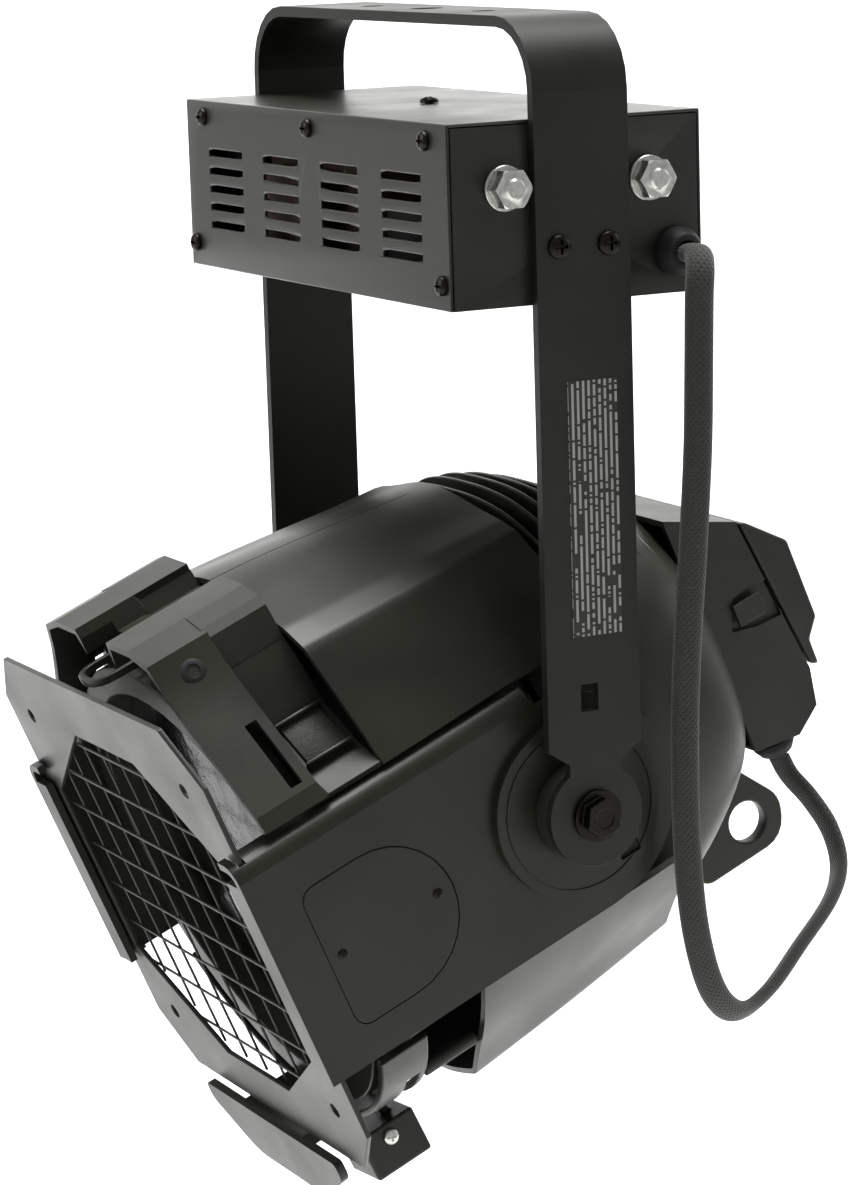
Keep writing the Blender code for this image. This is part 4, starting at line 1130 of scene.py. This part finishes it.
class PARCAN_OT_rear(bpy.types.Operator):
    """Ribbed rear casting, cap, lamp door, catch and safety eye"""

    bl_idname = "parcan.rear"
    bl_label = "Rear casting"

    def execute(self, context):
        rows = [
            [(across, forward * MM, up) for across, up in self.ring(half, top, low)]
            for half, top, low, forward in REAR_RINGS
        ]
        made = settled(skin("cast_rear_body", rows, REAR_WALL, levels=2, closed=True))
        cast(smooth(made, math.radians(50)), "rear_casting")
        self.fins()
        self.cap()
        return {"FINISHED"}

    def ring(self, half, top, low, start=0, end=360):
        """A squarish ring, or an arc of it, from sizes in mm and angles in degrees."""
        points = []
        gaps = RING_POINTS if end - start == 360 else RING_POINTS - 1
        for step in range(RING_POINTS):
            angle = math.radians(start + (end - start) * step / gaps)
            across = math.copysign(abs(math.cos(angle)) ** RING_POWER, math.cos(angle)) * half
            rise = math.copysign(abs(math.sin(angle)) ** RING_POWER, math.sin(angle))
            points.append((across, rise * (top if rise > 0 else -low)))
        return in_mm(points)

    def fins(self):
        """Arched cooling fins that step down towards the rear."""
        outer = self.ring(*FIN_OUTER, 0, *FIN_ARC)
        inner = self.ring(*FIN_INNER, 0, *FIN_ARC)
        fin = extruded(outer + inner[::-1], -FIN_HALF, FIN_HALF, "Y", Matrix.Identity(4))
        inputs = {
            "Count": ("NodeSocketInt", sizes().fins),
            "Pitch": ("NodeSocketFloat", 7 * MM),
            "Narrowing": ("NodeSocketFloat", 0.024),
            "First Height": ("NodeSocketFloat", 0.975),
            "Drop": ("NodeSocketFloat", 0.0072),
        }
        tree, start, end = geometry_tree("fin_stack", inputs)
        given = start.outputs
        step = add_node(tree, "ShaderNodeCombineXYZ", {"Y": maths(tree, "MULTIPLY", given["Pitch"], -1.0)})
        line = add_node(
            tree, "GeometryNodeMeshLine", {"Count": given["Count"], "Offset": step.outputs[0]},
            mode="OFFSET",
        )
        index = add_node(tree, "GeometryNodeInputIndex").outputs[0]
        width = maths(tree, "SUBTRACT", 1.0, maths(tree, "MULTIPLY", index, given["Narrowing"]))
        drop = maths(tree, "MULTIPLY", maths(tree, "MULTIPLY", index, index), given["Drop"])
        height = maths(tree, "SUBTRACT", given["First Height"], drop)
        size = add_node(tree, "ShaderNodeCombineXYZ", {"X": width, "Y": 1.0, "Z": height})
        spread = add_node(
            tree, "GeometryNodeInstanceOnPoints",
            {"Points": line.outputs[0], "Instance": given["Geometry"], "Scale": size.outputs[0]},
        )
        closing(tree, spread.outputs[0], finish("black_cast_housing"), end)
        mesh = fin.data.copy()
        bpy.data.objects.remove(fin)
        made = grown("cooling_fins", tree, inputs, mesh)
        made.data.transform(HEAD @ Matrix.Translation((0, FIRST_FIN, 0)))
        cast(crisp(settled(bevelled(made, 0.5 * MM, 2, 40))))

    def cap(self):
        recess = extruded(in_mm(CAP_RECESS), CAP_SIDE - 1.9 * MM, CAP_SIDE + 3 * MM, "X")
        refined("rear_cap", 2.0 * MM, "cast_rear_cap", limit=20, cutters=[recess])
        refined("lamp_door", 1.2 * MM, "lamp_access_door", limit=18)
        refined("door_catch", 0.5 * MM, "sprung_door_catch")
        refined("safety_eye", 1.0 * MM, "safety_rope_eye")


# The focus lever's screw: the lever's lean from straight down, the screw's distance along it and
# beside it, and its place forwards
LEVER_LEAN = math.radians(7)
SCREW_ALONG, SCREW_BESIDE, SCREW_FORWARD = 119 * MM, 13.0 * MM, 95 * MM


class PARCAN_OT_front(bpy.types.Operator):
    """Lens ring, lens, lever, band, lip and the optics behind"""

    bl_idname = "parcan.front"
    bl_label = "Front and optics"

    def execute(self, context):
        for node, edge, name, limit in (
            ("lens_ring", 0.7, "turned_lens_ring", 30),
            ("front_lens", 0.6, "pressed_front_lens", 30),
            ("front_band", 0.7, "cast_front_band", 30),
            ("bottom_lip", 1.0, "cast_bottom_lip", 30),
            ("lens_barrel", 0.5, "painted_lens_barrel", 30),
            ("tie_rod_right", 0.4, "band_tie_rod_right", 30),
            ("tie_rod_left", 0.4, "band_tie_rod_left", 30),
            ("reflector", 0.3, "spun_reflector", 60),
            ("lamp_holder", 0.6, "ceramic_lamp_holder", 30),
            ("discharge_lamp", 0.6, "quartz_lamp", 30),
        ):
            refined(node, edge * MM, name, limit=limit)
        refined("focus_lever", 3.0 * MM, "cast_focus_lever", segments=4)
        self.lever_screw()
        return {"FINISHED"}

    def lever_screw(self):
        low = Vector((math.sin(LEVER_LEAN), -math.cos(LEVER_LEAN)))
        right = Vector((math.cos(LEVER_LEAN), math.sin(LEVER_LEAN)))
        spot = low * SCREW_ALONG + right * SCREW_BESIDE
        place = at_head(spot.x, SCREW_FORWARD, spot.y + 2 * LENS_AXIS_UP)
        axis = (ACROSS * right.x + UPWARD * right.y).normalized()
        screw = cross_screw(head=3.2 * MM, height=1.5 * MM, shank=1.4 * MM, length=1.0 * MM)
        made = copies_of("lever_screw", screw, [(place, axis)], finish("zinc_fastener"))
        placed(made, "lens_turn")


# The guard's wires: length and number of those that stand and those that lie across, how far forward
# they are, and the outline in mm that they end at
STANDING_LENGTH, STANDING = 149 * MM, 9
LYING_LENGTH, LYING = 168 * MM, 8
WIRES_FORWARD = 120.2 * MM
WIRES_OUTLINE = [(86, -40), (86, 43), (31, 79), (-31, 79), (-86, 43), (-86, -40), (-31, -73), (31, -73)]


class PARCAN_OT_guard(bpy.types.Operator):
    """Guard frame with crossed wires, and its latch"""

    bl_idname = "parcan.guard"
    bl_label = "Guard"

    def execute(self, context):
        refined("guard_frame", 0.3 * MM, "stamped_guard_frame", segments=2, whole=False)
        refined("frame_latch", 0.8 * MM, "wire_frame_latch")
        self.wires()
        return {"FINISHED"}

    def wires(self):
        """Round wires crossed behind the frame's window, cut off under its rim."""
        inputs = {
            "Pitch": ("NodeSocketFloat", sizes().wire_pitch),
            "Wire": ("NodeSocketFloat", sizes().wire / 2),
            "Width": ("NodeSocketFloat", LYING_LENGTH),
            "Height": ("NodeSocketFloat", STANDING_LENGTH),
        }
        tree, start, end = geometry_tree("crossed_wires", inputs)
        given = start.outputs
        profile = add_node(
            tree, "GeometryNodeCurvePrimitiveCircle", {"Resolution": 8, "Radius": given["Wire"]}
        )
        joined = add_node(tree, "GeometryNodeJoinGeometry")
        sets = (("X", "Z", STANDING, "Height"), ("Z", "X", LYING, "Width"))
        for number, (axis, other, count, span) in enumerate(sets):
            half = maths(tree, "MULTIPLY", given[span], 0.5)
            low = add_node(tree, "ShaderNodeCombineXYZ", {other: maths(tree, "MULTIPLY", half, -1.0)})
            high = add_node(tree, "ShaderNodeCombineXYZ", {other: half})
            rod = add_node(
                tree, "GeometryNodeCurvePrimitiveLine", {"Start": low.outputs[0], "End": high.outputs[0]}
            )
            tube = add_node(
                tree, "GeometryNodeCurveToMesh",
                {"Curve": rod.outputs[0], "Profile Curve": profile.outputs[0], "Fill Caps": True},
            )
            first = maths(tree, "MULTIPLY", given["Pitch"], -(count - 1) / 2)
            # The second set lies 0.8 of a wire in front of the first, so that they bite into each other
            front = maths(tree, "MULTIPLY", given["Wire"], number * 1.6)
            origin = add_node(tree, "ShaderNodeCombineXYZ", {axis: first, "Y": front})
            step = add_node(tree, "ShaderNodeCombineXYZ", {axis: given["Pitch"]})
            line = add_node(
                tree, "GeometryNodeMeshLine",
                {"Count": count, "Start Location": origin.outputs[0], "Offset": step.outputs[0]},
                mode="OFFSET",
            )
            spread = add_node(
                tree, "GeometryNodeInstanceOnPoints",
                {"Points": line.outputs[0], "Instance": tube.outputs[0]},
            )
            tree.links.new(spread.outputs[0], joined.inputs[0])
        closing(tree, joined.outputs[0], finish("guard_wire"), end)
        made = grown("guard_wires", tree, inputs)
        made.data.transform(HEAD @ Matrix.Translation((0, WIRES_FORWARD, LENS_AXIS_UP)))
        low, high = WIRES_FORWARD - 10 * MM, WIRES_FORWARD + 10 * MM
        made = trimmed(made, extruded(in_mm(WIRES_OUTLINE), low, high, "Y"))
        paint(smooth(made), finish("guard_wire"))
        placed(made, "guard", ["guard_mesh"])


def trimmed(obj, keep):
    """Cuts away what lies outside a convex shape, closing each cut."""
    shape = bmesh.new()
    shape.from_mesh(obj.data)
    for polygon in keep.data.polygons:
        geometry = list(shape.verts) + list(shape.edges) + list(shape.faces)
        cut = bmesh.ops.bisect_plane(
            shape, geom=geometry, plane_co=polygon.center, plane_no=polygon.normal, clear_outer=True
        )
        rim = [item for item in cut["geom_cut"] if isinstance(item, bmesh.types.BMEdge)]
        bmesh.ops.holes_fill(shape, edges=rim)
    shape.to_mesh(obj.data)
    shape.free()
    bpy.data.objects.remove(keep)
    return obj


# The lead's route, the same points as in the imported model, from the box's gland to the head's
LEAD_ROUTE = (
    (0.1203, 0.0402, -0.0853), (0.1258, 0.0402, -0.0855), (0.1307, 0.0380, -0.0905),
    (0.1325, 0.0363, -0.1009), (0.1335, 0.0350, -0.1255), (0.1325, 0.0346, -0.1542),
    (0.1290, 0.0340, -0.1907), (0.1240, 0.0338, -0.2280), (0.1190, 0.0351, -0.2662),
    (0.1140, 0.0384, -0.3055), (0.1085, 0.0447, -0.3384), (0.1010, 0.0563, -0.3653),
    (0.0930, 0.0719, -0.3780), (0.0850, 0.0905, -0.3748), (0.0770, 0.1103, -0.3620),
    (0.0690, 0.1295, -0.3488), (0.0610, 0.1390, -0.3380), (0.0540, 0.1397, -0.3252),
    (0.0455, 0.1362, -0.3140), (0.0385, 0.1310, -0.3050), (0.0370, 0.1272, -0.2972),
)
# Steps between two of its points, points around it, how square its section is, and its girth as the
# weave's pattern counts it, in mm
ROUTE_STEPS, LEAD_AROUND, LEAD_POWER, LEAD_GIRTH = 8, 20, 0.8, 30.0
# It is thicker where it leaves the box, by this share, over this length
LEAD_SWELL, SWELL_LENGTH = 0.25, 20 * MM


def smooth_route(route, steps):
    """A smooth curve through the points of a route, with steps points for each of its stretches."""
    points = [Vector(point) for point in route]
    points = [2 * points[0] - points[1], *points, 2 * points[-1] - points[-2]]
    run = []
    for index in range(1, len(points) - 2):
        before, start, end, after = points[index - 1:index + 3]
        for step in range(steps):
            t = step / steps
            run.append(
                0.5 * (2 * start + (end - before) * t + (2 * before - 5 * start + 4 * end - after) * t**2
                       + (3 * start - before - 3 * end + after) * t**3)
            )
    run.append(points[-2])
    return run


class PARCAN_OT_lead(bpy.types.Operator):
    """Flat braided lead from the ballast box to the head"""

    bl_idname = "parcan.lead"
    bl_label = "Lead"

    def execute(self, context):
        run = smooth_route(LEAD_ROUTE, ROUTE_STEPS)
        width = sizes().lead_width / 2
        thick = sizes().lead_thickness / 2
        mesh = bpy.data.meshes.new("braided_lead")
        shape = bmesh.new()
        uv = shape.loops.layers.uv.new("run")
        side = Vector((0, 1, 0))
        rings = []
        length = 0.0
        lengths = []
        for index, point in enumerate(run):
            ahead = run[min(index + 1, len(run) - 1)] - run[max(index - 1, 0)]
            ahead.normalize()
            side = (side - ahead * side.dot(ahead)).normalized()
            flat = ahead.cross(side)
            if index:
                length += (point - run[index - 1]).length
            lengths.append(length)
            swell = 1 + LEAD_SWELL * max(0.0, 1 - length / SWELL_LENGTH)
            ring = []
            for number in range(LEAD_AROUND):
                angle = 2 * math.pi * number / LEAD_AROUND
                across = math.copysign(abs(math.cos(angle)) ** LEAD_POWER, math.cos(angle)) * width
                rise = math.copysign(abs(math.sin(angle)) ** LEAD_POWER, math.sin(angle)) * thick * swell
                ring.append(shape.verts.new(point + side * across + flat * rise))
            rings.append(ring)
        for index, (ring, coming) in enumerate(zip(rings, rings[1:])):
            for number in range(LEAD_AROUND):
                following = (number + 1) % LEAD_AROUND
                face = shape.faces.new((ring[number], ring[following], coming[following], coming[number]))
                spots = (
                    (number, index), (number + 1, index), (number + 1, index + 1), (number, index + 1)
                )
                for loop, (turn, row) in zip(face.loops, spots):
                    loop[uv].uv = (turn / LEAD_AROUND * LEAD_GIRTH, lengths[row] / MM)
        shape.faces.new(rings[0][::-1])
        shape.faces.new(rings[-1])
        bmesh.ops.recalc_face_normals(shape, faces=shape.faces)
        shape.to_mesh(mesh)
        shape.free()
        made = smooth(new_object("braided_lead", mesh))
        paint(made, finish("braided_sleeve"))
        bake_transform(made)
        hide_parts("power_lead")
        return {"FINISHED"}


class PARCAN_PT_panel(bpy.types.Panel):
    """Lists the light's pieces and sizes"""

    bl_idname = "PARCAN_PT_panel"
    bl_label = "Par can light"
    bl_space_type = "VIEW_3D"
    bl_region_type = "UI"
    bl_category = "Par Can"

    def draw(self, context):
        for operator in OPERATORS:
            self.layout.operator(operator.bl_idname)
        for name in ParCanSizes.__annotations__:
            self.layout.prop(context.scene.par_can_sizes, name)
        for name in ParCanFinish.__annotations__:
            self.layout.prop(context.scene.par_can_finish, name)


OPERATORS = (
    PARCAN_OT_stage,
    PARCAN_OT_lead,
    PARCAN_OT_yoke,
    PARCAN_OT_ballast,
    PARCAN_OT_fasteners,
    PARCAN_OT_panels,
    PARCAN_OT_collar,
    PARCAN_OT_shells,
    PARCAN_OT_rear,
    PARCAN_OT_front,
    PARCAN_OT_guard,
)
CLASSES = (ParCanSizes, ParCanFinish, *OPERATORS, PARCAN_PT_panel)


def register():
    for item in CLASSES:
        bpy.utils.register_class(item)
    bpy.types.Scene.par_can_sizes = PointerProperty(type=ParCanSizes)
    bpy.types.Scene.par_can_finish = PointerProperty(type=ParCanFinish)


def unregister():
    del bpy.types.Scene.par_can_finish
    del bpy.types.Scene.par_can_sizes
    for item in reversed(CLASSES):
        bpy.utils.unregister_class(item)


def main():
    register()
    for operator in OPERATORS:
        group, name = operator.bl_idname.split(".")
        getattr(getattr(bpy.ops, group), name)()


if __name__ == "__main__":
    main()
